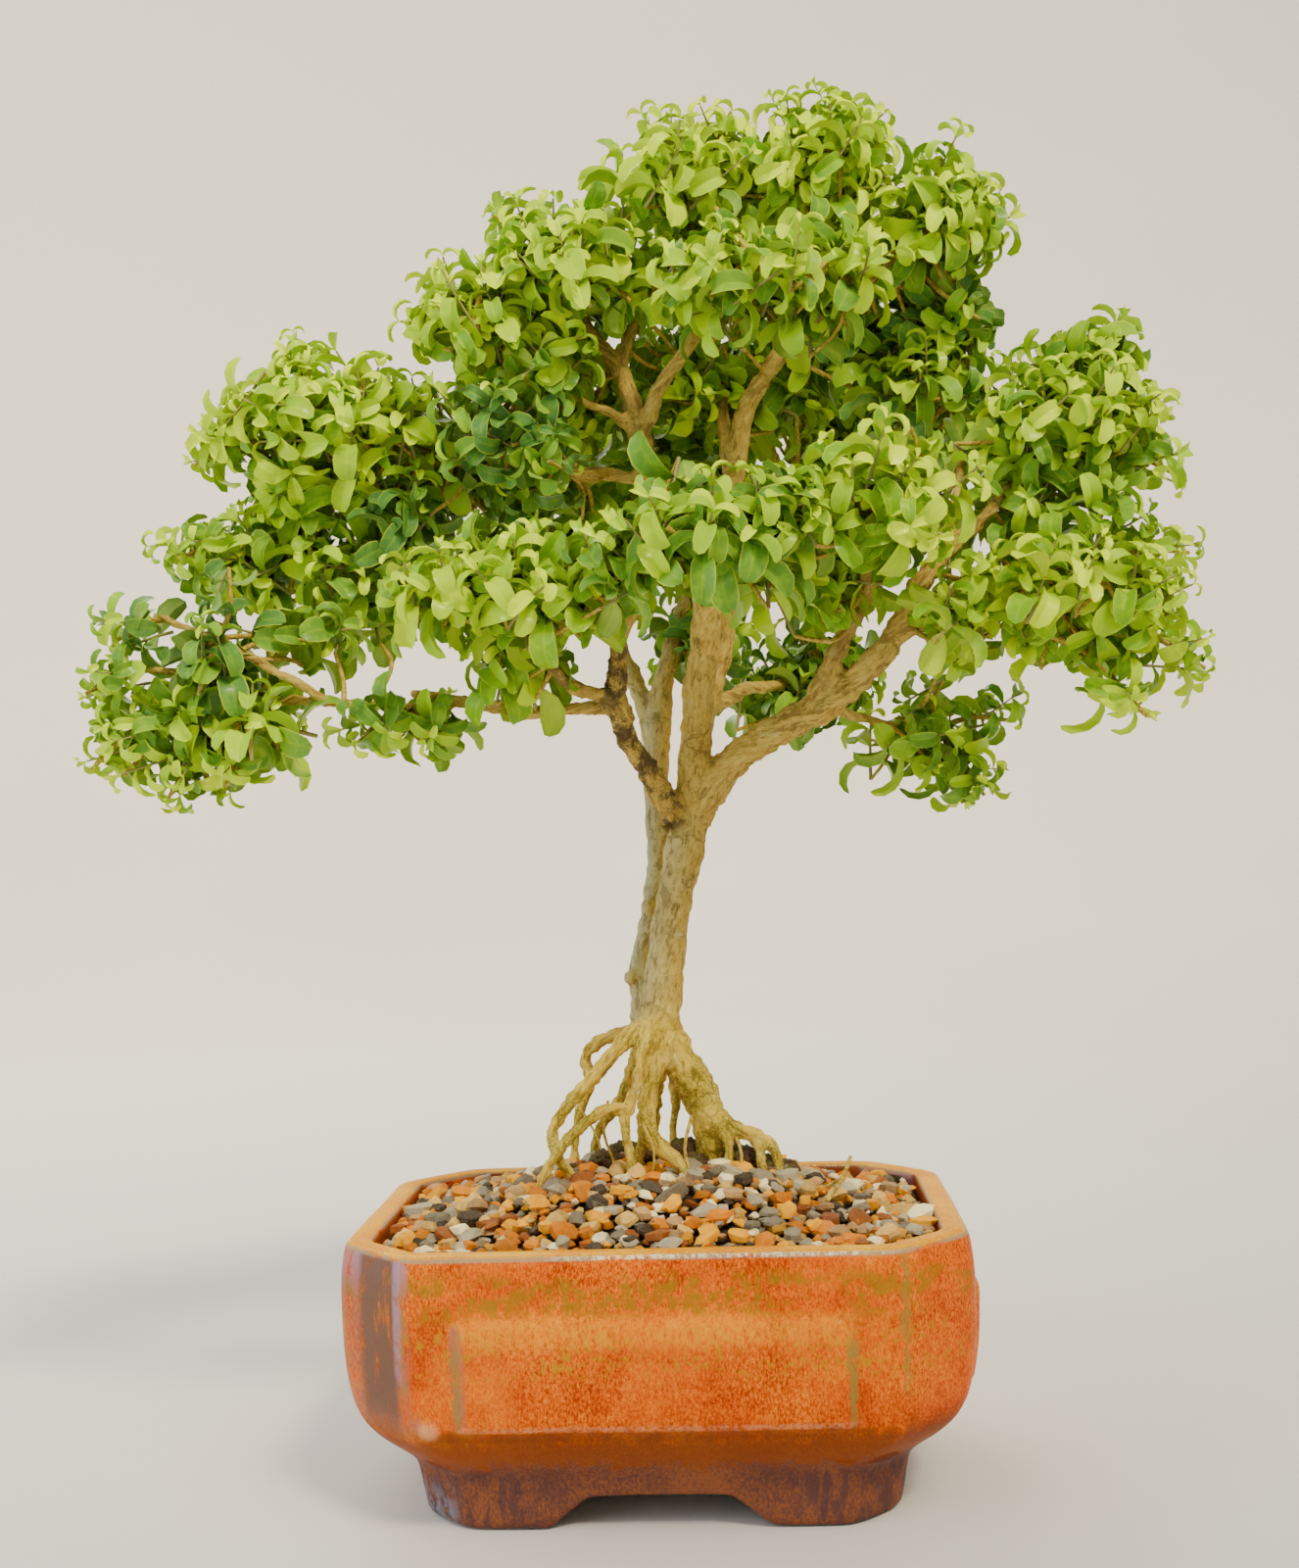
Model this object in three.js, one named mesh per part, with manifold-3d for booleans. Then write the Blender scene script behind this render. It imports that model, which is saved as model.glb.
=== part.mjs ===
// Kingsville boxwood bonsai in a glazed pot with cut corners.
// Millimetres, +Z up, the front of the tree facing -Y. The parts are made round the middle of the pot,
// and at the end the whole tree moves so that its origin lies at the bottom centre of its bounding box.

import * as THREE from 'three';
import { mergeVertices } from 'three/addons/utils/BufferGeometryUtils.js';
import Module from 'manifold-3d';

const wasm = await Module();
wasm.setup();

// Driving dimensions

const clearance = 0.3; // between pieces that touch

const rimHalfWidth = 77;
const rimHalfDepth = 56.5;
const rimCornerCut = 18.3; // taken off each corner, along x and along y
const potHeight = 69.3;
const potWall = 7;
const footHalfWidth = 59.3;
const footHalfDepth = 44.7;
const footCornerCut = 12.5;
const footArchHeight = 8.3;
const potFloorTop = 15;
const footRingWidth = 9;
const panelRise = 1;
const panelBottom = 27;
const panelTop = 55;
const panelMargin = 11.5; // from the panel's end to the edge of its side
const drainHoleRadius = 7.5;
const drainHoleOffset = 27; // from the middle of the pot, along x

// The pot's outline on every side: height, swell beyond the rim, and how far it has drawn in to the foot,
// from 0 at the rim to 1 at the foot.
const potOutline = [
  [0, 0, 1],
  [footArchHeight, 0, 0.92],
  [16.2, 0, 0.84],
  [18.4, 0.2, 0.74],
  [22.5, 0.4, 0.52],
  [28, 0.8, 0.3],
  [34, 1.2, 0.12],
  [42, 1.5, 0.02],
  [50, 1.7, 0],
  [60, 1.6, 0],
  [66, 0.8, 0],
  [potHeight, 0, 0],
];

const drainMeshSize = 24;
const drainMeshThickness = 1.2;
const drainMeshCells = 3; // along each side
const drainMeshBar = 1.4;

const soilEdgeHeight = 66.8;
const soilMoundHeight = 77.6;
const soilMoundHalfWidth = 74;
const soilMoundHalfDepth = 54;
const soilGridStep = 5.7;
const pebbleCount = 150;
const pebbleReach = 8; // from a pebble's top to where its sides go under
const pebbleRise = 3.2;

const rootTipHeight = 62; // where the roots end, inside the soil

// Every stem, branch and root is a row of [x, y, z, radius] along its middle.
const stems = {
  mainTrunk: [
    [0.5, 10, 109, 6.6], [2, 9, 125, 5.7], [4, 8, 138.5, 5], [6.5, 8, 153, 5], [9, 9, 164, 5.6],
    [11, 9.5, 174, 5],
  ],
  backTrunk: [
    [-3.5, 14, 113, 4.6], [-6, 17, 127, 3.6], [-4, 18, 140.5, 3], [-1, 19, 154, 3.1],
    [0.5, 20, 167.5, 3.4], [1, 22, 184, 3.8], [2, 24, 198, 4],
  ],
  backForkRight: [
    [2, 24, 194, 3.8], [4, 30, 211, 3], [7, 35, 222, 2.6], [10, 42, 235.5, 2.2], [11, 52, 252.5, 1.9],
    [9.5, 64, 272, 1.5],
  ],
  backForkLeft: [
    [1.5, 24, 193, 3.6], [-3, 34, 207.5, 2.8], [-10, 46, 222, 2.2], [-19, 57, 237.5, 1.8],
    [-32, 64, 252, 1.4],
  ],
  frontLeft: [
    [8.5, 8, 170, 4], [1, -4, 183, 2.9], [-4, -12, 192, 2.7], [-6, -18, 199.5, 3], [-5.5, -24, 208, 2.7],
    [-5, -30, 219, 2.3], [-8, -35, 227, 1.9], [-13, -39, 231, 1.6], [-23, -44, 229, 1.3],
  ],
  frontCentre: [
    [-5, -28, 215.5, 2.1], [0, -36, 223.5, 1.8], [4.5, -44, 228.5, 1.6], [12.5, -53, 236, 1.3],
  ],
  longLeft: [
    [-6, -18, 200, 2], [-18.5, -20, 200.5, 1.8], [-29, -20, 199.5, 1.7], [-43, -18, 203, 1.6],
    [-57.5, -16, 202, 1.5], [-76, -13, 204, 1.4], [-92.5, -10, 205.5, 1.3], [-110, -8, 206, 1.1],
  ],
  longLeftSpur: [[-46, -18, 203, 1.5], [-52, -21, 204.5, 1.3], [-58, -27, 205, 1.1]],
  longLeftRise: [[-82, -12, 204.5, 1.4], [-97, -17, 214, 1.3], [-111, -17, 222, 1.2], [-127, -14, 229, 1]],
  leftStub: [[-6, -19, 200.5, 2], [-13, -26, 204, 1.9], [-19.5, -34, 207.5, 1.7], [-26, -43, 218, 1.3]],
  centre: [
    [11, 9, 168, 5], [13, 3, 190, 4.4], [14.5, -1, 204, 4.2], [16, -4, 215, 4], [17.5, -6, 228, 3.8],
    [14, -6, 242.5, 3.6], [8.5, -4, 253.5, 3.5], [4, -2, 261.5, 3.4], [0.5, 0, 276, 3.2],
  ],
  centreLeft: [
    [0.5, 0, 273, 3.1], [-1.5, 0, 284.5, 2.7], [-5, 1, 294, 2.4], [-11, 0, 301, 2], [-15.5, -4, 311, 1.5],
  ],
  centreLeftTop: [[-4.5, 1, 291, 2], [-0.5, 4, 304, 1.8], [7, 5, 317.5, 1.5], [15, 4, 336, 1.2]],
  centreRight: [
    [1, 0, 274, 2.6], [7, -6, 285.5, 2], [14, -12, 293.5, 1.8], [21.5, -20, 301, 1.5],
    [33, -29, 307, 1.2],
  ],
  centreLowLeft: [
    [0, 0, 275, 1.9], [-7.5, -4, 280, 1.5], [-16, -6, 284, 1.3], [-30.5, -6, 293.5, 1.2],
    [-42, -6, 302, 1],
  ],
  rightStem: [
    [14, 2, 192, 3.3], [20, 10, 212.5, 2.9], [23, 13, 228.5, 2.8], [24.5, 15, 245, 2.8],
    [25, 16, 260, 2.9], [26.5, 16, 273, 3.2],
  ],
  rightStemBack: [
    [25, 16, 266, 2.4], [23.5, 20, 281.5, 1.9], [25.5, 26, 299, 1.7], [37, 32, 320, 1.4],
    [46, 36, 334, 1.1],
  ],
  rightStemTop: [
    [26.5, 16, 269, 3], [30, 13, 283.5, 2.7], [36, 9, 293, 2.2], [42.5, 6, 304, 1.9],
    [49.5, 2, 321.5, 1.5], [52.5, -1, 340, 1.2],
  ],
  rightStemSide: [[35, 10, 291, 2], [45.5, 7, 300.5, 1.7], [59, 4, 309.5, 1.5], [74, 2, 323, 1.2]],
  rightBough: [
    [11.5, 9, 172, 4.8], [19.5, 3, 183.5, 4], [29, -3, 191, 3.6], [39, -9, 196.5, 3.7],
    [48.5, -14, 200.5, 3.6], [57, -18, 207, 3.4], [63.5, -21, 213.5, 3.2], [69.5, -23, 225, 2.8],
    [78, -22, 236, 2.3], [89, -17, 246, 1.8], [105, -7, 263, 1.4],
  ],
  rightBoughUp: [
    [43, -11, 198, 2.8], [47, -16, 205, 2.6], [52, -22, 215, 2.4], [57, -30, 225.5, 2.2],
    [58.5, -37, 233, 1.9], [58, -44, 243, 1.5],
  ],
  rightBoughLow: [[64, -21, 215, 2.3], [76.5, -25, 220, 1.8], [88.5, -26, 221.5, 1.5], [103, -26, 225, 1.2]],
  rightBoughRise: [[78, -22, 236, 1.9], [84, -8, 255, 1.5], [86, 6, 272, 1.4], [85, 15, 290, 1.1]],
  rightTwig: [[47, -12, 199.5, 1.9], [58, 2, 196.5, 1.4], [67.5, 9, 194, 1.2], [74.5, 14, 191.5, 1]],
  backRight: [[16, 4, 200, 2.6], [27, 28, 207, 2], [36, 46, 209, 1.7], [43, 62, 212, 1.3]],
  backTop: [[16.5, -3, 220, 2.8], [17.5, 20, 238, 2.2], [15, 44, 258.5, 1.8], [9.5, 66, 279, 1.4]],
  backRightHigh: [[24, 15, 243, 2.3], [34, 34, 258.5, 1.9], [49, 50, 272.5, 1.6], [63, 62, 286, 1.3]],
  leftHigh: [
    [5, -2, 259.5, 2.3], [-8.5, 4, 265, 1.8], [-27.5, 8, 267, 1.6], [-49, 9, 270.5, 1.4],
    [-67, 9, 277, 1.2], [-83, 8, 284, 1],
  ],
  leftMid: [[-17, 55, 235.5, 1.8], [-41.5, 50, 243, 1.4], [-65.5, 38, 246.5, 1.3], [-96, 21, 249, 1.1]],
};

const roots = {
  left: [
    [-1, 9, 115, 3.2], [-8, 4, 112.5, 2.4], [-13.5, -1, 106.5, 2.1], [-20.5, -5, 99.5, 1.9],
    [-26, -7, 93, 1.7], [-27.5, -8, 88.5, 1.6], [-25.5, -7, 82.5, 1.6], [-22.5, -6, 77, 1.5],
    [-21.5, -6, 70.5, 1.3],
  ],
  leftBack: [
    [-3.5, 14, 114, 3], [-11, 18, 111.5, 2.1], [-17.5, 20, 109.5, 1.8], [-20.5, 21, 104.5, 1.7],
    [-19.5, 20, 99, 1.6], [-22, 18, 93, 1.6], [-23.5, 16, 86.5, 1.5], [-24, 14, 79.5, 1.4],
    [-24, 13, 70.5, 1.2],
  ],
  fork: [
    [-6, -3, 95, 1.7], [-13.5, -7, 95.5, 1.6], [-19, -9, 92, 1.5], [-23.5, -10, 88, 1.5],
    [-27.5, -11, 82.5, 1.4], [-31, -11, 76, 1.3], [-32, -11, 70.5, 1.2],
  ],
  front: [
    [-1.5, 6, 116, 2.8], [-4, 0, 109, 1.8], [-5, -2, 103, 1.6], [-6.5, -4, 97.5, 1.6],
    [-8.5, -5, 93, 1.6], [-8.5, -5, 87.5, 1.5], [-7, -5, 80.5, 1.4], [-6.5, -5, 71, 1.2],
  ],
  middle: [
    [0.5, 8, 112, 4.4], [-1, 5, 104.5, 3.2], [-2.5, 3, 97, 2.7], [-3, 1, 90, 2.5], [0, -1, 85, 2.2],
    [5.5, -3, 80, 1.9], [10, -4, 74, 1.6], [12, -4, 70, 1.5],
  ],
  middleDrop: [[-3, 2.5, 92, 2.1], [-4.5, 3, 85, 1.6], [-5.5, 3, 77.5, 1.5], [-6, 3, 69.5, 1.3]],
  right: [
    [2, 10, 114, 6.2], [5.5, 9, 107, 5.4], [10, 9, 99, 5], [13, 8, 91.5, 4.8], [14, 8, 85, 4.4],
    [14, 8, 77, 3.9], [14, 8, 70.5, 3.5],
  ],
  rightArm: [
    [13, 7, 93, 3.8], [18.5, 3, 88.5, 2.6], [23.5, 1, 87, 2.1], [29, 0, 85, 1.8], [31.5, 0, 80.5, 1.5],
    [32, 0, 71, 1.3],
  ],
  rightDropFirst: [[17, 3.5, 90, 1.8], [18.5, 1, 83.5, 1.4], [19.5, 0, 71, 1.2]],
  rightDropSecond: [[25.5, 1, 86.5, 1.6], [27, -1, 81.5, 1.3], [27.5, -2, 71, 1.1]],
  thinBack: [[4.5, 12, 102, 2], [4, 14, 92.5, 1.3], [3, 14.5, 85.5, 1.2], [2, 15, 71, 1.1]],
  backLeft: [
    [-3, 17, 112, 3.2], [-8, 26, 101.5, 2.2], [-12.5, 31, 91.5, 1.8], [-18.5, 33, 83, 1.5],
    [-21, 33, 71, 1.3],
  ],
  backRight: [
    [2.5, 15, 110, 3.6], [8.5, 26, 100, 2.6], [13.5, 32, 90.5, 2.2], [17.5, 36, 81.5, 1.7],
    [19, 37, 71, 1.4],
  ],
  backMid: [[-1, 16, 110, 3.2], [-1.5, 29, 98, 2.3], [-3, 36, 87.5, 1.9], [-3.5, 39, 71, 1.5]],
};

// The foliage grows in pads. Each is the ellipsoid that its leaf tips reach: its middle, its half
// widths along x, y and z, and its leaf colour.
const limeLeaf = 0x9dbb35;
const freshLeaf = 0x86a832;
const oldLeaf = 0x6d9038;
const pads = {
  crown_left: { middle: [18, 4, 342], reach: [25, 26, 18], leaf: limeLeaf },
  crown_top: { middle: [57, -4, 345], reach: [23, 24, 18], leaf: limeLeaf },
  crown_right: { middle: [86, 3, 327], reach: [22, 24, 18], leaf: freshLeaf },
  crown_front: { middle: [40, -34, 308], reach: [33, 21, 16], leaf: freshLeaf },
  crown_back: { middle: [42, 41, 338], reach: [36, 22, 21], leaf: freshLeaf },
  crown_side: { middle: [84, 16, 291], reach: [22, 22, 17], leaf: oldLeaf },
  shoulder_left: { middle: [-15, -6, 319], reach: [25, 27, 19], leaf: freshLeaf },
  shoulder_low: { middle: [-46, -8, 306], reach: [22, 25, 17], leaf: limeLeaf },
  left_high: { middle: [-87, 6, 288], reach: [34, 28, 19], leaf: limeLeaf },
  left_inner: { middle: [-50, 22, 276], reach: [21, 21, 15], leaf: oldLeaf },
  left_mid: { middle: [-102, 20, 249], reach: [34, 28, 19], leaf: freshLeaf },
  left_outer: { middle: [-128, -14, 228], reach: [21, 22, 15], leaf: oldLeaf },
  left_low: { middle: [-117, -6, 203], reach: [30, 24, 15], leaf: freshLeaf },
  left_spur: { middle: [-59, -28, 205], reach: [14, 12, 10], leaf: oldLeaf },
  front_left: { middle: [-31, -47, 227], reach: [32, 25, 19], leaf: limeLeaf },
  front_centre: { middle: [16, -60, 239], reach: [27, 22, 17], leaf: freshLeaf },
  front_right: { middle: [60, -48, 248], reach: [28, 24, 19], leaf: limeLeaf },
  right_high: { middle: [116, -4, 268], reach: [28, 28, 24], leaf: freshLeaf },
  right_low: { middle: [112, -26, 228], reach: [32, 26, 18], leaf: limeLeaf },
  right_twig: { middle: [76, 15, 191], reach: [25, 16, 13], leaf: freshLeaf },
  back_centre: { middle: [8, 70, 285], reach: [35, 24, 23], leaf: freshLeaf },
  back_left: { middle: [-38, 66, 256], reach: [32, 24, 20], leaf: oldLeaf },
  back_right: { middle: [68, 62, 289], reach: [30, 25, 21], leaf: freshLeaf },
  back_low: { middle: [46, 64, 214], reach: [26, 22, 16], leaf: oldLeaf },
};

// Leaves are about 1.5 times life size, so that fewer of them cover the pads.
const leafLength = 20;
const leafWidth = 11;
const leafThickness = 1.4; // at the midrib
const leafBend = 0.85; // radians from base to tip
const leafStand = 5.5; // how far the leaves stand out of their pad's core
const leafRootDepth = 3.5; // how far their bases are sunk in the core
const shootSpacing = 27.5;
const shootTries = 24;

// Where a leaf's two rings of corners lie along it, and how wide it is there.
const leafStations = [
  { along: 0, width: 0 },
  { along: 0.36, width: 0.84 },
  { along: 0.76, width: 0.92 },
  { along: 1, width: 0 },
];

// Small helpers

// A seeded random number generator, so that the tree grows the same way every time.
function randomFrom(seed) {
  let state = seed;
  return (low = 0, high = 1) => {
    state = (Math.imul(state, 1664525) + 1013904223) >>> 0;
    return low + (high - low) * (state / 4294967296);
  };
}

// A closed geometry as a solid that can be joined and cut.
function solid(geometry) {
  const bare = geometry.clone();
  bare.deleteAttribute('normal');
  bare.deleteAttribute('uv');
  const merged = mergeVertices(bare, 1e-4);
  return new wasm.Manifold(
    new wasm.Mesh({
      numProp: 3,
      vertProperties: new Float32Array(merged.attributes.position.array),
      triVerts: new Uint32Array(merged.index.array),
    }),
  );
}

function union(solids) {
  return wasm.Manifold.union(solids);
}

function intersection(solids) {
  return wasm.Manifold.intersection(solids);
}

// The largest body of a solid, without the scraps that a cut leaves.
function largestBody(cut) {
  return cut.decompose().reduce((best, body) => (body.volume() > best.volume() ? body : best));
}

function box(xRange, yRange, zRange) {
  const size = [xRange, yRange, zRange].map(([low, high]) => high - low);
  const middle = [xRange, yRange, zRange].map(([low, high]) => (low + high) / 2);
  return solid(new THREE.BoxGeometry(...size).translate(...middle));
}

// A named mesh from a solid.
function meshOf(name, shape, material) {
  const { vertProperties, triVerts } = shape.getMesh();
  const geometry = new THREE.BufferGeometry();
  geometry.setAttribute('position', new THREE.BufferAttribute(vertProperties, 3));
  geometry.setIndex(new THREE.BufferAttribute(triVerts, 1));
  geometry.computeVertexNormals();
  const mesh = new THREE.Mesh(geometry, material);
  mesh.name = name;
  return mesh;
}

// Pot

// A prism through the whole pot: its outline on two opposite sides, turned about Z.
function sidePrism(rimReach, footReach, turn, inset, levels) {
  const through = 130;
  const side = levels.map(([height, swell, drawnIn]) => [
    rimReach + swell - drawnIn * (rimReach - footReach) - inset,
    height,
  ]);
  const shape = new THREE.Shape([
    ...side.map(([reach, height]) => new THREE.Vector2(reach, height)),
    ...side.map(([reach, height]) => new THREE.Vector2(-reach, height)).reverse(),
  ]);
  const prism = new THREE.ExtrudeGeometry(shape, { depth: 2 * through, bevelEnabled: false });
  prism.translate(0, 0, -through);
  prism.rotateX(Math.PI / 2);
  prism.rotateZ(turn);
  return solid(prism);
}

const acrossWidth = 0;
const acrossDepth = Math.PI / 2;
const acrossCorners = [Math.PI / 4, -Math.PI / 4];

// The pot's eight-sided form, all of it a given distance inside its outer face.
function potForm(inset, levels) {
  const rimCorner = (rimHalfWidth + rimHalfDepth - rimCornerCut) / Math.SQRT2;
  const footCorner = (footHalfWidth + footHalfDepth - footCornerCut) / Math.SQRT2;
  return intersection([
    sidePrism(rimHalfWidth, footHalfWidth, acrossWidth, inset, levels),
    sidePrism(rimHalfDepth, footHalfDepth, acrossDepth, inset, levels),
    ...acrossCorners.map((turn) => sidePrism(rimCorner, footCorner, turn, inset, levels)),
  ]);
}

// The raised panels on the front and back, and on the two ends.
function potPanels() {
  const halfWidth = rimHalfWidth - rimCornerCut - panelMargin;
  const halfDepth = rimHalfDepth - rimCornerCut - panelMargin;
  const heights = [panelBottom, panelTop];
  const longPanels = intersection([
    sidePrism(rimHalfDepth, footHalfDepth, acrossDepth, -panelRise, potOutline),
    box([-halfWidth, halfWidth], [-rimHalfDepth - 5, rimHalfDepth + 5], heights),
  ]);
  const endPanels = intersection([
    sidePrism(rimHalfWidth, footHalfWidth, acrossWidth, -panelRise, potOutline),
    box([-rimHalfWidth - 5, rimHalfWidth + 5], [-halfDepth, halfDepth], heights),
  ]);
  return union([longPanels, endPanels]);
}

// The opening between two feet, cut right through under the pot.
function footArch(halfWidthAtTable, halfWidthAtTop, turn) {
  const shape = new THREE.Shape();
  shape.moveTo(-halfWidthAtTable - 1, -1);
  shape.quadraticCurveTo(-halfWidthAtTable + 1, 0, -halfWidthAtTable + 3, 2.5);
  shape.lineTo(-halfWidthAtTop - 3, footArchHeight - 1.6);
  shape.quadraticCurveTo(-halfWidthAtTop - 1, footArchHeight, -halfWidthAtTop + 2, footArchHeight);
  shape.lineTo(halfWidthAtTop - 2, footArchHeight);
  shape.quadraticCurveTo(halfWidthAtTop + 1, footArchHeight, halfWidthAtTop + 3, footArchHeight - 1.6);
  shape.lineTo(halfWidthAtTable - 3, 2.5);
  shape.quadraticCurveTo(halfWidthAtTable - 1, 0, halfWidthAtTable + 1, -1);
  const through = 90;
  const arch = new THREE.ExtrudeGeometry(shape, {
    depth: 2 * through,
    bevelEnabled: false,
    curveSegments: 3,
  });
  arch.translate(0, 0, -through);
  arch.rotateX(Math.PI / 2);
  arch.rotateZ(turn);
  return solid(arch);
}

// What the soil, with its clearance, leaves of the pot's inside.
function potInside(inset) {
  const levels = [...potOutline, [potHeight + 30, 0, 0]];
  const aboveFloor = box(
    [-rimHalfWidth, rimHalfWidth],
    [-rimHalfDepth, rimHalfDepth],
    [potFloorTop + inset, potHeight + 30],
  );
  return potForm(potWall + inset, levels).intersect(aboveFloor);
}

function makePot() {
  const underside = box(
    [-footHalfWidth + footRingWidth, footHalfWidth - footRingWidth],
    [-footHalfDepth + footRingWidth, footHalfDepth - footRingWidth],
    [-1, footArchHeight],
  );
  const drainHoles = [-1, 1].map((side) => {
    const hole = new THREE.CylinderGeometry(drainHoleRadius, drainHoleRadius, 40, 16);
    return solid(hole.rotateX(Math.PI / 2).translate(side * drainHoleOffset, 0, 10));
  });
  return union([potForm(0, potOutline), potPanels()]).subtract(
    union([
      potInside(0),
      underside,
      footArch(28, 17.5, acrossWidth),
      footArch(19, 10, acrossDepth),
      ...drainHoles,
    ]),
  );
}

// Plastic meshes that keep the soil in over the drain holes

function makeDrainMesh(side) {
  const half = drainMeshSize / 2;
  const heights = [potFloorTop + clearance, potFloorTop + clearance + drainMeshThickness];
  const plate = box(
    [side * drainHoleOffset - half, side * drainHoleOffset + half],
    [-half, half],
    heights,
  );
  const pitch = (drainMeshSize - drainMeshBar) / drainMeshCells;
  const cells = [];
  for (let column = 0; column < drainMeshCells; column += 1) {
    for (let row = 0; row < drainMeshCells; row += 1) {
      const left = side * drainHoleOffset - half + drainMeshBar + column * pitch;
      const front = -half + drainMeshBar + row * pitch;
      const open = pitch - drainMeshBar;
      cells.push(box([left, left + open], [front, front + open], [potFloorTop - 1, potFloorTop + 5]));
    }
  }
  return plate.subtract(union(cells));
}

// Soil

// The height of the mound above the edge of the soil, from its middle (0) to its rim (1).
const moundShape = [
  [1, 0],
  [0.84, 0.16],
  [0.62, 0.46],
  [0.36, 0.82],
  [0.14, 0.98],
  [0, 1],
];

function moundHeightAt(x, y) {
  const out = Math.hypot(x / soilMoundHalfWidth, y / soilMoundHalfDepth);
  const step = moundShape.findIndex(([reach]) => reach <= out);
  if (step === 0) {
    return soilEdgeHeight;
  }
  const [outerReach, outerRise] = moundShape[step - 1];
  const [innerReach, innerRise] = moundShape[step];
  const share = (outerReach - out) / (outerReach - innerReach);
  const rise = outerRise + share * (innerRise - outerRise);
  return soilEdgeHeight + rise * (soilMoundHeight - soilEdgeHeight);
}

// Where the pebbles in the top of the soil lie. Each is placed where it has most room.
function pebblePlaces() {
  const random = randomFrom(31);
  const places = [];
  for (let index = 0; index < pebbleCount; index += 1) {
    let best = null;
    for (let attempt = 0; attempt < 16; attempt += 1) {
      const x = random(-rimHalfWidth, rimHalfWidth);
      const y = random(-rimHalfDepth, rimHalfDepth);
      const room = Math.min(...places.map((place) => Math.hypot(place.x - x, place.y - y)), 99);
      if (best === null || room > best.room) {
        best = { x, y, room };
      }
    }
    places.push({ ...best, rise: pebbleRise * random(0.6, 1.2) });
  }
  return places;
}

// A block as wide as the pot, with the mound and its pebbles raised from its top face.
function makeHeap() {
  const places = pebblePlaces();
  const block = new THREE.BoxGeometry(
    2 * rimHalfWidth,
    2 * rimHalfDepth,
    1,
    Math.round((2 * rimHalfWidth) / soilGridStep),
    Math.round((2 * rimHalfDepth) / soilGridStep),
    1,
  );
  const position = block.attributes.position;
  for (let index = 0; index < position.count; index += 1) {
    if (position.getZ(index) > 0) {
      const x = position.getX(index);
      const y = position.getY(index);
      const humps = places.map((place) => {
        const away = Math.hypot(place.x - x, place.y - y) / pebbleReach;
        return place.rise * (1 - away * away);
      });
      position.setZ(index, moundHeightAt(x, y) + Math.max(...humps, -pebbleRise / 2));
    } else {
      position.setZ(index, 0);
    }
  }
  return solid(block);
}

function makeSoil(rootHoles) {
  const meshPockets = [-1, 1].map((side) => {
    const half = drainMeshSize / 2 + clearance;
    return box(
      [side * drainHoleOffset - half, side * drainHoleOffset + half],
      [-half, half],
      [0, potFloorTop + drainMeshThickness + 2 * clearance],
    );
  });
  const filled = makeHeap().intersect(potInside(clearance));
  return largestBody(filled.subtract(union([rootHoles, ...meshPockets])));
}

// Wood

// A cylinder bent along a row of [x, y, z, radius] points, all of it made thicker by extra.
function limb(points, extra = 0) {
  const curve = new THREE.CatmullRomCurve3(
    points.map(([x, y, z]) => new THREE.Vector3(x, y, z)),
    false,
    'centripetal',
  );
  const spans = points.length - 1;
  const thickest = Math.max(...points.map((point) => point[3]));
  const sides = thickest > 3.9 ? 6 : 5;
  const cylinder = new THREE.CylinderGeometry(1, 1, 1, sides, spans);
  const position = cylinder.attributes.position;
  const rings = [];
  let across = new THREE.Vector3(1, 0.3, 0.1);
  for (let ring = 0; ring <= spans; ring += 1) {
    const along = curve.getTangent(ring / spans);
    across = across.clone().addScaledVector(along, -across.dot(along)).normalize();
    rings.push({
      centre: curve.getPoint(ring / spans),
      across,
      upright: along.clone().cross(across),
      radius: points[ring][3] + extra,
    });
  }
  const vertex = new THREE.Vector3();
  for (let index = 0; index < position.count; index += 1) {
    vertex.fromBufferAttribute(position, index);
    const ring = rings[Math.round((vertex.y + 0.5) * spans)];
    const placed = ring.centre
      .clone()
      .addScaledVector(ring.across, vertex.x * ring.radius)
      .addScaledVector(ring.upright, -vertex.z * ring.radius);
    position.setXYZ(index, placed.x, placed.y, placed.z);
  }
  return solid(cylinder);
}

// A root goes on straight down into the soil from its last point.
function sunkRoot(points) {
  const [x, y, , radius] = points[points.length - 1];
  return [...points, [x, y, rootTipHeight, radius * 0.8]];
}

function makeWood() {
  const above = Object.values(stems).map((points) => limb(points));
  const below = Object.values(roots).map((points) => limb(sunkRoot(points)));
  return union([...above, ...below]);
}

function makeRootHoles() {
  return union(Object.values(roots).map((points) => limb(sunkRoot(points), clearance * 1.3)));
}

// Foliage

// A pad's core: a low, uneven ball of twigs and shaded leaves, which the leaves stand out of.
function coreGeometry(pad, random, extra = 0) {
  const ball = new THREE.DodecahedronGeometry(1, 0);
  ball.deleteAttribute('normal');
  ball.deleteAttribute('uv');
  const core = mergeVertices(ball, 1e-4);
  const position = core.attributes.position;
  const halfWidths = coreHalfWidths(pad).map((half) => half + extra);
  for (let index = 0; index < position.count; index += 1) {
    const swell = random(0.94, 1.1);
    position.setXYZ(
      index,
      position.getX(index) * halfWidths[0] * swell,
      position.getY(index) * halfWidths[1] * swell,
      position.getZ(index) * halfWidths[2] * swell,
    );
  }
  return core.translate(...pad.middle);
}

function coreHalfWidths(pad) {
  return pad.reach.map((reach) => Math.max(reach - leafStand, 5));
}

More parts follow.
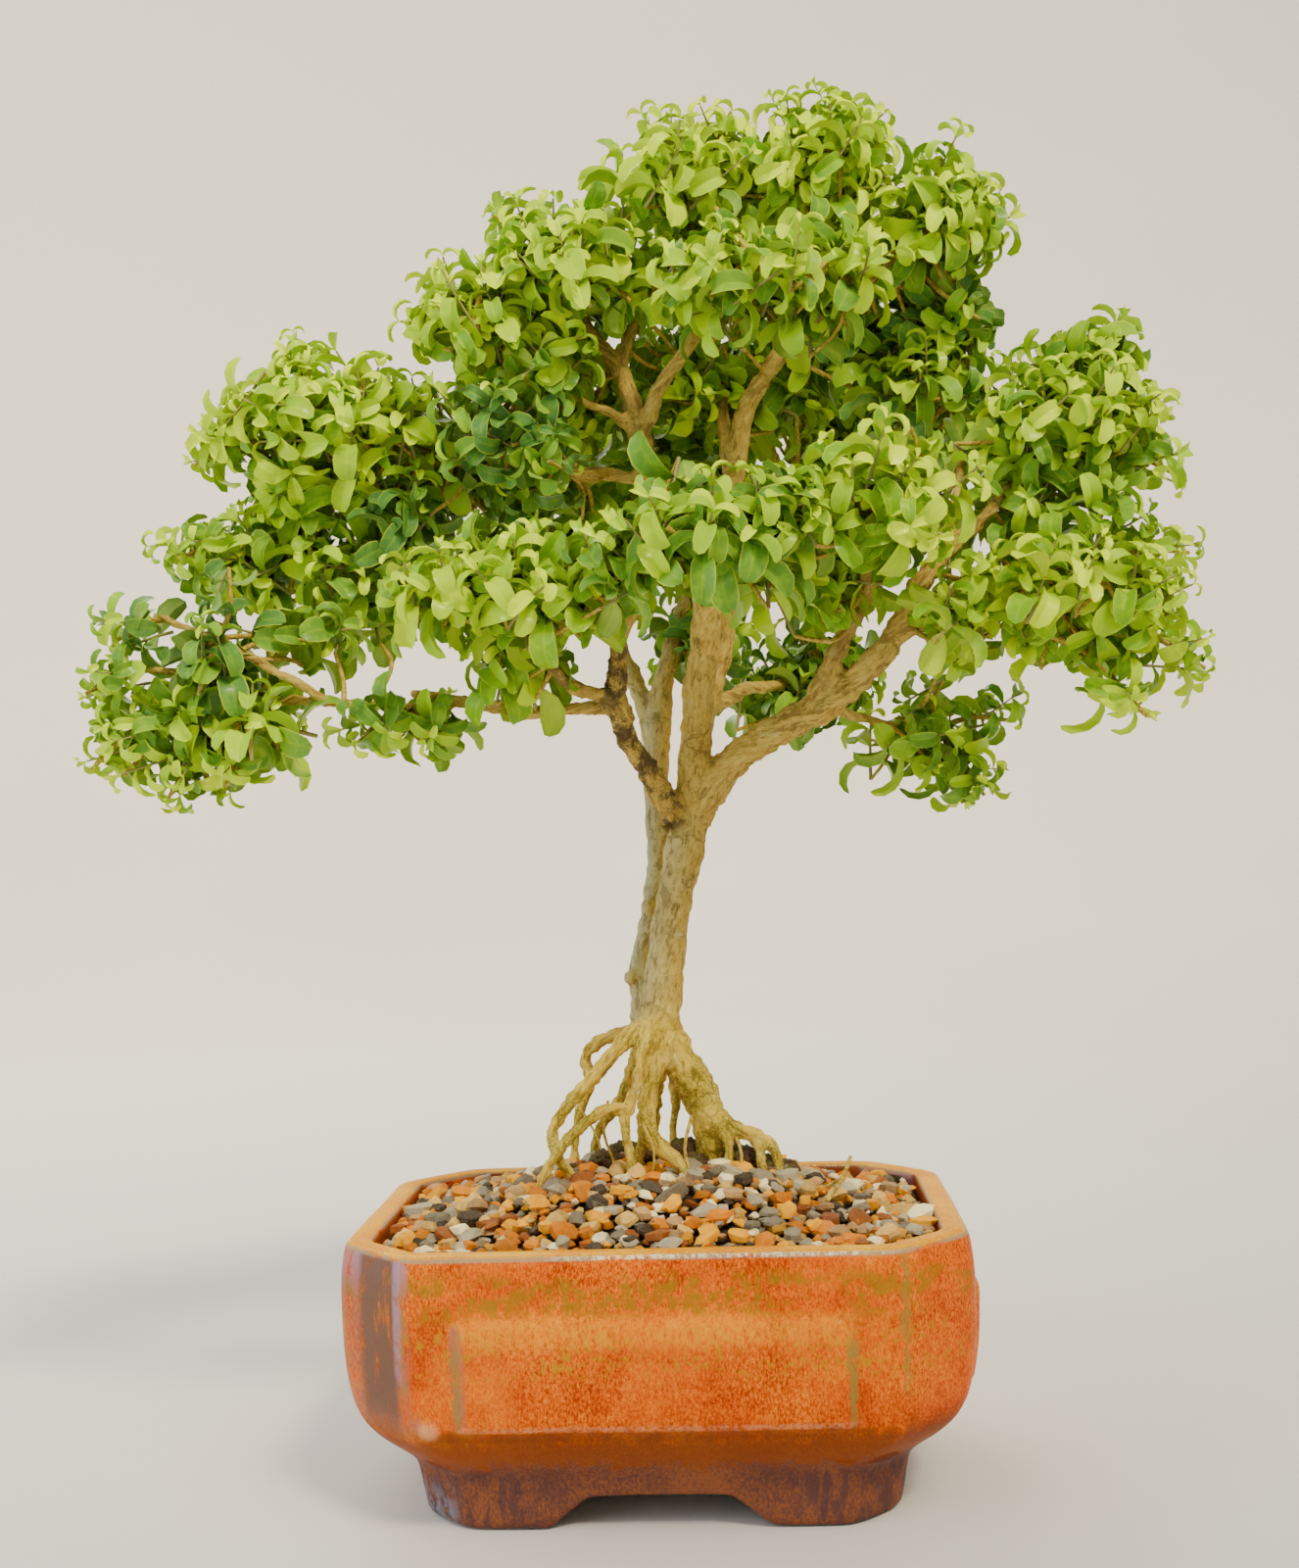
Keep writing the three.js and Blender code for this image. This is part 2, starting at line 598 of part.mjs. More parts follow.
// A boxwood leaf from a ball with three meridians: its poles are the leaf's base and tip, and the
// meridians are its two edges and the midrib on its upper face. It lies along +X and bends down to
// its tip.
function leafGeometry(size, extra = 0) {
  const leaf = new THREE.SphereGeometry(1, 3, leafStations.length - 1);
  const position = leaf.attributes.position;
  const length = leafLength * size + extra;
  const halfWidth = (leafWidth * size) / 2 + extra;
  const thickness = leafThickness + 2 * extra;
  const edgeMeridian = (2 * Math.PI) / 3;
  for (let index = 0; index < position.count; index += 1) {
    const polarAngle = Math.acos(THREE.MathUtils.clamp(position.getY(index), -1, 1));
    const station = Math.round((polarAngle / Math.PI) * (leafStations.length - 1));
    const { along, width } = leafStations[station];
    const meridian = Math.atan2(position.getZ(index), -position.getX(index));
    const bend = leafBend * along;
    const across = (width * halfWidth * Math.sin(meridian)) / Math.sin(edgeMeridian);
    const rise = (width * thickness * Math.cos(meridian)) / (1 - Math.cos(edgeMeridian));
    position.setXYZ(
      index,
      (length * Math.sin(bend)) / leafBend + rise * Math.sin(bend),
      across,
      (-length * (1 - Math.cos(bend))) / leafBend + rise * Math.cos(bend),
    );
  }
  return leaf;
}

// The turn that lays a leaf's length along one direction, with its upper face toward another.
function leafPlace(root, along, faceTo) {
  const side = faceTo.clone().cross(along).normalize();
  const up = along.clone().cross(side);
  return new THREE.Matrix4().makeBasis(along, side, up).setPosition(root);
}

// The leaves of one shoot: an outer pair and an inner pair, set crosswise and rooted at one point.
function shootLeaves(root, axis, spin, pairs, random) {
  const helper = Math.abs(axis.z) < 0.9 ? new THREE.Vector3(0, 0, 1) : new THREE.Vector3(1, 0, 0);
  const first = helper.cross(axis).normalize().applyAxisAngle(axis, spin);
  const second = axis.clone().cross(first);
  const opening = { outer: random(0.55, 0.8), inner: random(0.1, 0.3) };
  const spread = [
    [first, opening.outer],
    [first.clone().negate(), opening.outer],
    [second, opening.inner],
    [second.clone().negate(), opening.inner],
  ];
  return spread.slice(0, 2 * pairs).map(([outward, angle]) => {
    const along = axis.clone().multiplyScalar(Math.cos(angle)).addScaledVector(outward, Math.sin(angle));
    const faceTo = axis.clone().addScaledVector(along, -axis.dot(along));
    const size = random(0.88, 1.08);
    return { place: leafPlace(root, along, faceTo), size };
  });
}

// A leaf as it grows, and the fuller form that keeps its clearance to other pieces.
function growLeaf({ place, size }) {
  const grown = solid(leafGeometry(size).applyMatrix4(place));
  const guard = solid(leafGeometry(size, clearance).applyMatrix4(place));
  const bounds = new THREE.Box3().setFromBufferAttribute(
    leafGeometry(size, clearance).applyMatrix4(place).attributes.position,
  );
  return { grown, guard, bounds };
}

function meets(leaf, other) {
  return leaf.bounds.intersectsBox(other.bounds) && !leaf.guard.intersect(other.grown).isEmpty();
}

function asObstacle(shape) {
  const { min, max } = shape.boundingBox();
  return { grown: shape, bounds: new THREE.Box3(new THREE.Vector3(...min), new THREE.Vector3(...max)) };
}

// Where the shoots of a pad start: even steps round its core in a golden spiral, each heading out from
// the core and a little up to the light. The underside of a pad stays nearly bare.
function shootStarts(pad, core) {
  const middle = new THREE.Vector3(...pad.middle);
  const coreMesh = new THREE.Mesh(core, new THREE.MeshBasicMaterial({ side: THREE.DoubleSide }));
  const [a, b, c] = coreHalfWidths(pad);
  const area = 4 * Math.PI * (((a * b) ** 1.6 + (a * c) ** 1.6 + (b * c) ** 1.6) / 3) ** 0.625;
  const count = Math.max(4, Math.round(area / shootSpacing ** 2));
  const golden = Math.PI * (3 - Math.sqrt(5));
  const starts = [];
  for (let index = 0; index < count; index += 1) {
    const height = 1 - (1.5 * (index + 0.5)) / count;
    const round = Math.sqrt(1 - height * height);
    const direction = new THREE.Vector3(
      round * Math.cos(index * golden),
      round * Math.sin(index * golden),
      height,
    );
    const toSurface = direction.clone().multiply(new THREE.Vector3(a, b, c)).normalize();
    const [hit] = new THREE.Raycaster(middle, toSurface).intersectObject(coreMesh);
    const axis = direction.clone().divide(new THREE.Vector3(a, b, c)).normalize();
    axis.z += 0.3;
    axis.normalize();
    const pairs = index % 3 === 0 ? 2 : 1;
    starts.push({ surface: hit.point, axis, pairs });
  }
  return starts;
}

// Grows the leaves of one pad. Each shoot is tried with several spins and tilts, and the one that
// keeps most leaves clear of the other pieces, with fewest crossings in its own pad, stays.
function growPad(pad, core, random, obstacles) {
  const own = [];
  for (const { surface, axis, pairs } of shootStarts(pad, core)) {
    let best = null;
    for (let attempt = 0; attempt < shootTries; attempt += 1) {
      const tilt = new THREE.Vector3(random(-0.3, 0.3), random(-0.3, 0.3), random(-0.2, 0.3));
      const turned = axis.clone().add(tilt).normalize();
      const root = surface.clone().addScaledVector(axis, -leafRootDepth);
      const leaves = shootLeaves(root, turned, random(0, Math.PI), pairs, random)
        .map(growLeaf)
        .filter((leaf) => !obstacles.some((other) => meets(leaf, other)));
      const crossings = leaves.filter((leaf) => own.some((other) => meets(leaf, other))).length;
      const merit = leaves.length - 0.6 * crossings;
      if (best === null || merit > best.merit) {
        best = { leaves, merit };
      }
    }
    own.push(...best.leaves);
  }
  return own;
}

function growFoliage(wood) {
  const random = randomFrom(7);
  const cores = Object.values(pads).map((pad) => coreGeometry(pad, random));
  const coreSolids = cores.map(solid);
  const grown = [];
  Object.entries(pads).forEach(([name, pad], index) => {
    const others = coreSolids.filter((core, other) => other !== index);
    const nearby = grown.flatMap((done) => done.leaves);
    const obstacles = [asObstacle(wood), ...others.map(asObstacle), ...nearby];
    const leaves = growPad(pad, cores[index], random, obstacles);
    const shape = union([coreSolids[index], ...leaves.map((leaf) => leaf.grown)]);
    grown.push({ name, pad, leaves, shape });
  });
  return grown;
}

// The limbs end against the cores of the pads that they carry.
function coreSeats() {
  const random = randomFrom(7);
  return union(Object.values(pads).map((pad) => solid(coreGeometry(pad, random, clearance * 1.5))));
}

// Materials

function material(color, roughness) {
  return new THREE.MeshStandardMaterial({ color, roughness, metalness: 0 });
}

const glaze = material(0xb4542a, 0.25);
const plastic = material(0x2b2d2c, 0.6);
const gravel = material(0xa98f72, 0.9);
const bark = material(0xa38d6c, 0.85);

// The tree

const bonsai = new THREE.Group();
const wood = largestBody(makeWood().subtract(coreSeats()));

bonsai.add(meshOf('pot', makePot(), glaze));
bonsai.add(meshOf('drain_mesh_left', makeDrainMesh(-1), plastic));
bonsai.add(meshOf('drain_mesh_right', makeDrainMesh(1), plastic));
bonsai.add(meshOf('soil_bed', makeSoil(makeRootHoles()), gravel));
bonsai.add(meshOf('trunk', wood, bark));
for (const { name, pad, shape } of growFoliage(wood)) {
  bonsai.add(meshOf(`foliage_${name}`, shape, material(pad.leaf, 0.55)));
}

const extent = new THREE.Box3().setFromObject(bonsai);
const middle = extent.getCenter(new THREE.Vector3());
bonsai.position.set(-middle.x, -middle.y, -extent.min.z);

export default bonsai;
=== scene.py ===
# %% [markdown]
# # A kingsville boxwood bonsai
# The tree stands in a glazed pot with cut corners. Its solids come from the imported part, which gives
# every piece its size and place. This lesson dresses them: the pot and its glaze, the gravel, the wood
# with its roots, and thousands of small curled leaves on their shoots.

# %% Load the frame
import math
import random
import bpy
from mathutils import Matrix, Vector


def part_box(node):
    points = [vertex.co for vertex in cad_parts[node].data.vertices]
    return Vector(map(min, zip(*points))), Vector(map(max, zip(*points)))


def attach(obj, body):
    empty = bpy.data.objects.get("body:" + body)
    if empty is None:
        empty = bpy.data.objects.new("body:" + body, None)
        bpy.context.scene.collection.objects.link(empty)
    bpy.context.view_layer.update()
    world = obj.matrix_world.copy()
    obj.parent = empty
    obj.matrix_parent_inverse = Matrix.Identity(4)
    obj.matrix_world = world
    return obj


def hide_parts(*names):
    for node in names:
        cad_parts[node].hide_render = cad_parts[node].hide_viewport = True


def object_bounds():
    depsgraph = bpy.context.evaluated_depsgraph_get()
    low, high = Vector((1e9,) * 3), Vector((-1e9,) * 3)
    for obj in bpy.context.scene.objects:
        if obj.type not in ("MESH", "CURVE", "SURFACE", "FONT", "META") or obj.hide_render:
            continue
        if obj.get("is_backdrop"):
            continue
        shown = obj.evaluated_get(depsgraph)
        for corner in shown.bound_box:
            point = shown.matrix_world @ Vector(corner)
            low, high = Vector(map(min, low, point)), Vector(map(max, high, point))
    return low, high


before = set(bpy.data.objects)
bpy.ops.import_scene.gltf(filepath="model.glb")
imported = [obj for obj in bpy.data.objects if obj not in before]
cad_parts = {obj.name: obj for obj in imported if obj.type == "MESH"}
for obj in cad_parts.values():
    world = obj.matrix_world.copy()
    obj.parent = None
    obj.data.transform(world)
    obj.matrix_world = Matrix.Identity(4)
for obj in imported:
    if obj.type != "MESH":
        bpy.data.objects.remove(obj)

# %% [markdown]
# ## Units and places
# Blender counts in metres here, but a pot and a leaf are easier to think of in millimetres. So every
# piece is modelled in millimetres round the middle of the pot, and moved into the frame at the end.

# %% Units and places
from types import SimpleNamespace

import bmesh
import bpy
from mathutils import Matrix, Vector, kdtree, noise

MM = 0.001
cad_low, cad_high = (Vector(corner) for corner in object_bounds())
pot_low, pot_high = (Vector(corner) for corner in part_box("pot"))
pot_middle = Vector(((pot_low.x + pot_high.x) / 2, (pot_low.y + pot_high.y) / 2, 0))
to_frame = Matrix.Translation(pot_middle) @ Matrix.Scale(MM, 4)
to_millimetres = to_frame.inverted()
room_low = to_millimetres @ cad_low
room_high = to_millimetres @ cad_high
print("the tree's box, in mm round the pot:", [round(v, 1) for v in (*room_low, *room_high)])

# %% [markdown]
# ## The camera
# The photograph was taken from a little in front and to the right of the tree, at half its height. The
# place and the three turns were fitted to the corners of the pot's rim and feet. The picture is taller
# than wide, so the sensor's 36 mm lie along its height.

# %% The camera
camera_place = Vector((25.3, -489.5, 170.6))
camera_yaw = -0.0505
camera_pitch = 0.0206
camera_roll = -0.0312
lens_length = 42.15


def make_camera():
    ahead = Vector((
        math.sin(camera_yaw) * math.cos(camera_pitch),
        math.cos(camera_yaw) * math.cos(camera_pitch),
        math.sin(camera_pitch),
    ))
    level = Vector((math.cos(camera_yaw), -math.sin(camera_yaw), 0))
    upright = level.cross(ahead)
    right = math.cos(camera_roll) * level + math.sin(camera_roll) * upright
    up = math.cos(camera_roll) * upright - math.sin(camera_roll) * level
    turn = Matrix((right, up, -ahead)).transposed()
    bpy.ops.object.camera_add(location=to_frame @ camera_place)
    camera = bpy.context.object
    camera.rotation_euler = turn.to_euler()
    camera.data.lens = lens_length
    camera.data.clip_start = 0.01
    bpy.context.scene.camera = camera
    print("camera at", [round(v, 3) for v in camera.location])


make_camera()

# %% [markdown]
# ## Helpers for modelling by hand
# Modelling by hand is a round of choosing something and acting on it. These helpers choose vertices, edges
# or faces by a test of where they are, apply modifiers, and join pieces. A helper that ends a piece puts it
# into the frame and gives it its body and its material.

# %% Helpers for modelling
def only(piece):
    """Selects one object alone."""
    bpy.ops.object.select_all(action="DESELECT")
    piece.select_set(True)
    bpy.context.view_layer.objects.active = piece
    return piece


def editing(piece):
    only(piece)
    bpy.ops.object.mode_set(mode="EDIT")


def done():
    bpy.ops.object.mode_set(mode="OBJECT")


def choose(piece, kind, test):
    """Selects the vertices, edges or faces that pass a test, which gets a place, or two, or a normal."""
    bpy.ops.mesh.select_mode(type=kind)
    bpy.ops.mesh.select_all(action="DESELECT")
    mesh = bmesh.from_edit_mesh(piece.data)
    if kind == "VERT":
        for vertex in mesh.verts:
            vertex.select_set(test(vertex.co))
    elif kind == "EDGE":
        for edge in mesh.edges:
            edge.select_set(test(edge.verts[0].co, edge.verts[1].co))
    else:
        for face in mesh.faces:
            face.select_set(test(face.calc_center_median(), face.normal))
    mesh.select_flush_mode()
    bmesh.update_edit_mesh(piece.data)


def cut(place, normal):
    """Cuts new edges right round the piece where a plane meets it."""
    bpy.ops.mesh.select_all(action="SELECT")
    bpy.ops.mesh.bisect(plane_co=place, plane_no=normal)


def modify(piece, kind, **settings):
    modifier = piece.modifiers.new(kind.lower(), kind)
    for name, value in settings.items():
        setattr(modifier, name, value)
    only(piece)
    bpy.ops.object.modifier_apply(modifier=modifier.name)


def join(pieces, name):
    bpy.ops.object.select_all(action="DESELECT")
    for piece in pieces:
        piece.select_set(True)
    bpy.context.view_layer.objects.active = pieces[0]
    bpy.ops.object.join()
    whole = bpy.context.object
    whole.name = name
    whole.data.name = name
    return whole


def settle():
    """Writes the active object's place, turn and size into its mesh."""
    bpy.ops.object.transform_apply(location=True, rotation=True, scale=True)


def taken_out(piece):
    """The mesh of a finished model, without its object, to be copied from."""
    mesh = piece.data
    bpy.data.objects.remove(piece)
    return mesh


def add_copy(mesh, place):
    """A copy with its own mesh, already put in its place."""
    copied = mesh.copy()
    copied.transform(place)
    piece = bpy.data.objects.new(mesh.name, copied)
    bpy.context.collection.objects.link(piece)
    return piece


def count_triangles(piece):
    return sum(len(face.vertices) - 2 for face in piece.data.polygons)


def into_frame(piece, material, slot, *nodes):
    """Moves a finished piece from millimetres into the frame, gives it its material, and hides the solids
    that it stands for. The slot is not used.
    """
    piece.data.transform(to_frame)
    piece.data.materials.clear()
    piece.data.materials.append(material)
    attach(piece, "root")
    if nodes:
        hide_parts(*nodes)
    print(piece.name, "has", count_triangles(piece), "triangles")


# %% [markdown]
# ## Helpers for materials
# Every finish here is mixed from a few procedural patterns. A material is a small net of nodes, so
# these helpers add one node each, and give back the socket that the next one reads. The place on the
# object is read in millimetres round the pot, so a pattern's scale is simply spots per millimetre.

# %% Helpers for materials
def node(tree, kind, settings, inputs, output=0):
    made = tree.nodes.new(kind)
    for name, value in settings.items():
        setattr(made, name, value)
    for key, value in inputs.items():
        if isinstance(value, bpy.types.NodeSocket):
            tree.links.new(value, made.inputs[key])
        else:
            made.inputs[key].default_value = value
    return made.outputs[output]


def sum_of(tree, operation, first, second=0.0):
    return node(tree, "ShaderNodeMath", {"operation": operation}, {0: first, 1: second})


def plus(tree, first, second):
    return sum_of(tree, "ADD", first, second)


def minus(tree, first, second):
    return sum_of(tree, "SUBTRACT", first, second)


def both(tree, *masks):
    """The product of all the masks: 1 only where each of them is 1."""
    whole = masks[0]
    for mask in masks[1:]:
        whole = sum_of(tree, "MULTIPLY", whole, mask)
    return whole


def rise(tree, value, low, high):
    """0 below low and 1 above high, with a smooth step between. It falls where high is the lower."""
    settings = {"interpolation_type": "SMOOTHSTEP"}
    if low < high:
        return node(tree, "ShaderNodeMapRange", settings, {0: value, 1: low, 2: high})
    return node(tree, "ShaderNodeMapRange", settings, {0: value, 1: high, 2: low, 3: 1.0, 4: 0.0})


def band(tree, value, low, high, soft):
    """1 from low to high, with soft edges outside them."""
    return both(tree, rise(tree, value, low - soft, low), rise(tree, value, high + soft, high))


def place_in_mm(tree):
    place = node(tree, "ShaderNodeTexCoord", {}, {}, "Object")
    settings = {"vector_type": "POINT"}
    inputs = {"Location": -pot_middle / MM, "Scale": (1 / MM,) * 3, "Vector": place}
    return node(tree, "ShaderNodeMapping", settings, inputs)


def axes_of(tree, vector):
    split = node(tree, "ShaderNodeSeparateXYZ", {}, {0: vector}).node
    return split.outputs[0], split.outputs[1], split.outputs[2]


def stretched(tree, vector, scale):
    return node(tree, "ShaderNodeMapping", {}, {"Vector": vector, "Scale": scale})


def cloud(tree, vector, scale, detail=3.0, roughness=0.5):
    inputs = {"Vector": vector, "Scale": scale, "Detail": detail, "Roughness": roughness}
    return node(tree, "ShaderNodeTexNoise", {}, inputs)


def colours(tree, value, stops, interpolation="LINEAR"):
    """A colour for each value, from stops of a value and a colour."""
    ramp = node(tree, "ShaderNodeValToRGB", {}, {0: value}).node
    ramp.color_ramp.interpolation = interpolation
    elements = ramp.color_ramp.elements
    while len(elements) < len(stops):
        elements.new(0.5)
    for element, (position, colour) in zip(elements, stops):
        element.position = position
        element.color = (*colour, 1)
    return ramp.outputs[0]


def shades(tree, value, low, dark, high, light):
    """A grey from dark to light as the value goes from low to high."""
    return colours(tree, value, [(low, (dark,) * 3), (high, (light,) * 3)])


def laid_over(tree, mask, under, over, blend="MIX"):
    inputs = {0: mask, 6: under, 7: over}
    for key in (6, 7):
        if isinstance(inputs[key], tuple):
            inputs[key] = (*inputs[key], 1)
    return node(tree, "ShaderNodeMix", {"data_type": "RGBA", "blend_type": blend}, inputs, 2)


def tinted(tree, under, over, strength, *masks):
    """A colour with another one laid over it, as strongly as the masks allow together."""
    return laid_over(tree, both(tree, *masks, strength), under, over)


def bumps(tree, height, distance, strength=1.0):
    """Dents and rises as light shows them. The distance is in millimetres."""
    inputs = {"Height": height, "Distance": distance * MM, "Strength": strength}
    return node(tree, "ShaderNodeBump", {}, inputs)


def new_material(name):
    material = bpy.data.materials.new(name)
    material.use_nodes = True
    shader = material.node_tree.nodes["Principled BSDF"]
    return material, material.node_tree, shader


def gloss(shader, specular, coat=0.0, coat_ior=1.5, coat_roughness=0.03):
    """How a finish shines: the shine of the stuff itself, and a clear coat over it."""
    shader.inputs["Specular IOR Level"].default_value = specular
    shader.inputs["Coat Weight"].default_value = coat
    shader.inputs["Coat IOR"].default_value = coat_ior
    shader.inputs["Coat Roughness"].default_value = coat_roughness


def wire(tree, shader, colour, roughness, normal=None):
    tree.links.new(colour, shader.inputs["Base Color"])
    tree.links.new(roughness, shader.inputs["Roughness"])
    if normal is not None:
        tree.links.new(normal, shader.inputs["Normal"])


# %% [markdown]
# ## The floor
# The object stands on a plain pale floor. A flat one would show an edge behind it, so the floor is a
# very wide bowl that rises out of sight: a disc whose rim is extruded outwards and upwards nine times.

# %% The floor
floor_radius = 1.15
floor_rises = [
    (1.15, 0.015), (1.14, 0.05), (1.13, 0.1), (1.12, 0.16), (1.11, 0.25), (1.1, 0.36), (1.08, 0.5),
    (1.06, 0.7), (1.04, 1.0),
]


def make_floor():
    bpy.ops.mesh.primitive_circle_add(vertices=96, radius=floor_radius, fill_type="NGON")
    floor = bpy.context.object
    floor.name = "studio_floor"
    editing(floor)
    bpy.ops.mesh.select_mode(type="EDGE")
    bpy.ops.mesh.select_all(action="SELECT")
    for spread, height in floor_rises:
        bpy.ops.mesh.extrude_edges_move(TRANSFORM_OT_translate={"value": (0, 0, height)})
        bpy.ops.transform.resize(value=(spread, spread, 1), center_override=(0, 0, 0))
    done()
    bpy.ops.object.shade_smooth()
    material, tree, shader = new_material("floor_paper")
    place = node(tree, "ShaderNodeTexCoord", {}, {}, "Object")
    shade = cloud(tree, place, 3.0)
    colour = colours(tree, shade, [(0.3, (0.8, 0.79, 0.77)), (0.7, (0.83, 0.82, 0.8))])
    wire(tree, shader, colour, rise(tree, shade, -1.0, 1.2))
    floor.data.materials.append(material)
    floor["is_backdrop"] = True
    print("floor", round(floor.dimensions.x, 1), "m across")


make_floor()

# %% [markdown]
# ## The light
# The tree was photographed under one warm lamp. Lamps alone would leave the far floor dark, so a warm
# wide sun from the upper right gives the same light near and far. Three large soft lamps help it: one
# beside the sun for soft reflections, a cool one from the left to soften the shade, and one from behind
# to edge the leaves with light.

# %% The light
lamps = {
    "key_lamp": {"place": (0.6, -0.75, 1.3), "size": 0.6, "power": 9, "colour": (1, 0.9, 0.72)},
    "fill_lamp": {"place": (-1.0, -0.7, 0.6), "size": 1.0, "power": 8, "colour": (0.66, 0.83, 1)},
    "rim_lamp": {"place": (-0.4, 0.85, 1.0), "size": 0.8, "power": 7, "colour": (1, 0.96, 0.85)},
}
sun_place = Vector((0.55, -0.8, 1.25))
sun_strength = 4.3
sun_width = math.radians(14)
sun_colour = (1, 0.86, 0.58)
air_strength = 0.42
air_colour = (0.9, 0.95, 1, 1)
lit_point = Vector((0, 0, 0.2))


def add_light(name, kind, place, power, colour):
    """A light that shines at the tree."""
    bpy.ops.object.light_add(type=kind, location=place)
    light = bpy.context.object
    light.name = name
    light.rotation_euler = (lit_point - Vector(place)).to_track_quat("-Z", "Y").to_euler()
    light.data.energy = power
    light.data.color = colour
    return light


def make_light():
    for name, lamp in lamps.items():
        light = add_light(name, "AREA", lamp["place"], lamp["power"], lamp["colour"])
        light.data.size = lamp["size"]
        light.visible_camera = False
    add_light("key_sun", "SUN", sun_place, sun_strength, sun_colour).data.angle = sun_width
    world = bpy.data.worlds.new("studio_air")
    world.use_nodes = True
    air = world.node_tree.nodes["Background"]
    air.inputs["Color"].default_value = air_colour
    air.inputs["Strength"].default_value = air_strength
    bpy.context.scene.world = world
    print(len(lamps), "soft lamps and a sun")


make_light()

# %% [markdown]
# ## The pot
# The real pot was pressed in a mould: an oblong with cut corners, swelling a little below its flat rim
# and drawn in to a skirt on four corner feet. It could be lofted from a row of outlines. Working from a
# block is closer to how a hand would do it: bevel the four upright edges, cut the block into levels,
# and draw each level in or out.

# %% The pot's block and its levels
rim_half_width = 77
rim_half_depth = 56.5
rim_corner_cut = 18.3
foot_half_width = 59.3
foot_half_depth = 44.7
foot_corner_cut = 12.5
pot_height = 69.3
pot_wall = 7
arch_height = 8.3
floor_top = 15
corner_round = 4
# Each level's height, its swell beyond the rim, and how far it has drawn in to the foot.
pot_levels = [
    (8.3, 0, 0.92), (13.8, 0, 0.86), (16.2, 0.1, 0.74), (19.5, 0.3, 0.46), (24, 0.6, 0.22),
    (30, 0.9, 0.08), (38, 1.2, 0.01), (50, 1.4, 0), (60, 1.4, 0), (66, 0.8, 0), (69.3, 0, 0),
]


def between(rim_value, foot_value, drawn_in):
    return rim_value + (foot_value - rim_value) * drawn_in


def shape_level(pot, height, swell, drawn_in):
    """Draws the eight corners of one level to their own half width, half depth and corner cut."""
    half_width = between(rim_half_width, foot_half_width, drawn_in) + swell
    half_depth = between(rim_half_depth, foot_half_depth, drawn_in) + swell
    corner = between(rim_corner_cut, foot_corner_cut, drawn_in)
    middle = (0, 0, height)
    long_side = (half_width - corner) / (rim_half_width - rim_corner_cut)
    end_side = (half_depth - corner) / (rim_half_depth - rim_corner_cut)
    choose(pot, "VERT", lambda v: abs(v.z - height) < 0.1 and abs(v.y) > rim_half_depth - 0.1)
    bpy.ops.transform.resize(value=(long_side, half_depth / rim_half_depth, 1), center_override=middle)
    choose(pot, "VERT", lambda v: abs(v.z - height) < 0.1 and abs(v.x) > rim_half_width - 0.1)
    bpy.ops.transform.resize(value=(half_width / rim_half_width, end_side, 1), center_override=middle)


def on_corner_line(a, b):
    """True for the eight bent edges, from foot to rim, where the cut corners meet the sides."""
    return abs(a.z - b.z) > 1 and min(abs(a.x), abs(b.x)) > 30 and min(abs(a.y), abs(b.y)) > 20


def pot_block():
    size = (2 * rim_half_width, 2 * rim_half_depth, pot_height - arch_height)
    bpy.ops.mesh.primitive_cube_add(size=1, location=(0, 0, (pot_height + arch_height) / 2), scale=size)
    pot = bpy.context.object
    pot.name = "pot_body"
    settle()
    editing(pot)
    choose(pot, "EDGE", lambda a, b: abs(a.z - b.z) > 10)
    bpy.ops.mesh.bevel(offset=rim_corner_cut, offset_type="OFFSET", segments=1, affect="EDGES")
    for height, swell, drawn_in in pot_levels[1:-1]:
        cut((0, 0, height), (0, 0, 1))
    for level in pot_levels:
        shape_level(pot, *level)
    choose(pot, "EDGE", on_corner_line)
    bpy.ops.mesh.bevel(offset=corner_round, offset_type="OFFSET", segments=2, affect="EDGES")
    done()
    return pot


pot = pot_block()
print("block of the pot:", len(pot.data.polygons), "faces")

# %% [markdown]
# The four sides carry a low raised panel each. Four cuts mark its edges, an inset with a little depth
# lifts it, and because the inset slopes, the edge is soft as it is in a glazed pot. The hollow starts
# as an inset of the top face, pushed down in steps that follow the outside.

# %% The panels and the hollow
panel_bottom = 27
panel_top = 55
panel_margin = 11.5
panel_rise = 2.4
panel_slope = 2.2
long_panel_half = rim_half_width - rim_corner_cut - panel_margin
end_panel_half = rim_half_depth - rim_corner_cut - panel_margin
hollow_steps = [(60, 1.3), (42, 1.2), (28, -4.7), (floor_top, -15)]


def raise_panels(pot):
    editing(pot)
    for height in (panel_bottom, panel_top):
        cut((0, 0, height), (0, 0, 1))
    for side in (-1, 1):
        cut((side * long_panel_half, 0, 0), (1, 0, 0))
        cut((0, side * end_panel_half, 0), (0, 1, 0))
    for axis, across, half in ((1, 0, long_panel_half), (0, 1, end_panel_half)):
        for side in (-1, 1):
            choose(pot, "FACE", lambda c, n: (
                n[axis] * side > 0.8 and abs(c[across]) < half and panel_bottom < c.z < panel_top
            ))
            bpy.ops.mesh.inset(thickness=panel_slope, depth=panel_rise)
    done()


def hollow_out(pot):
    editing(pot)
    choose(pot, "FACE", lambda c, n: n.z > 0.9 and c.z > pot_height - 1)
    bpy.ops.mesh.inset(thickness=pot_wall, depth=0)
    reach = rim_half_width - pot_wall
    depth_reach = rim_half_depth - pot_wall
    height, width_now, depth_now = pot_height, reach, depth_reach
    for step_height, change in hollow_steps:
        width_next = reach + change
        depth_next = depth_reach + change * 0.67
        bpy.ops.mesh.extrude_region_move(
            TRANSFORM_OT_translate={"value": (0, 0, step_height - height)}
        )
        scale = (width_next / width_now, depth_next / depth_now, 1)
        bpy.ops.transform.resize(value=scale, center_override=(0, 0, step_height))
        height, width_now, depth_now = step_height, width_next, depth_next
    done()


raise_panels(pot)
hollow_out(pot)
print("with panels and hollow:", len(pot.data.polygons), "faces")

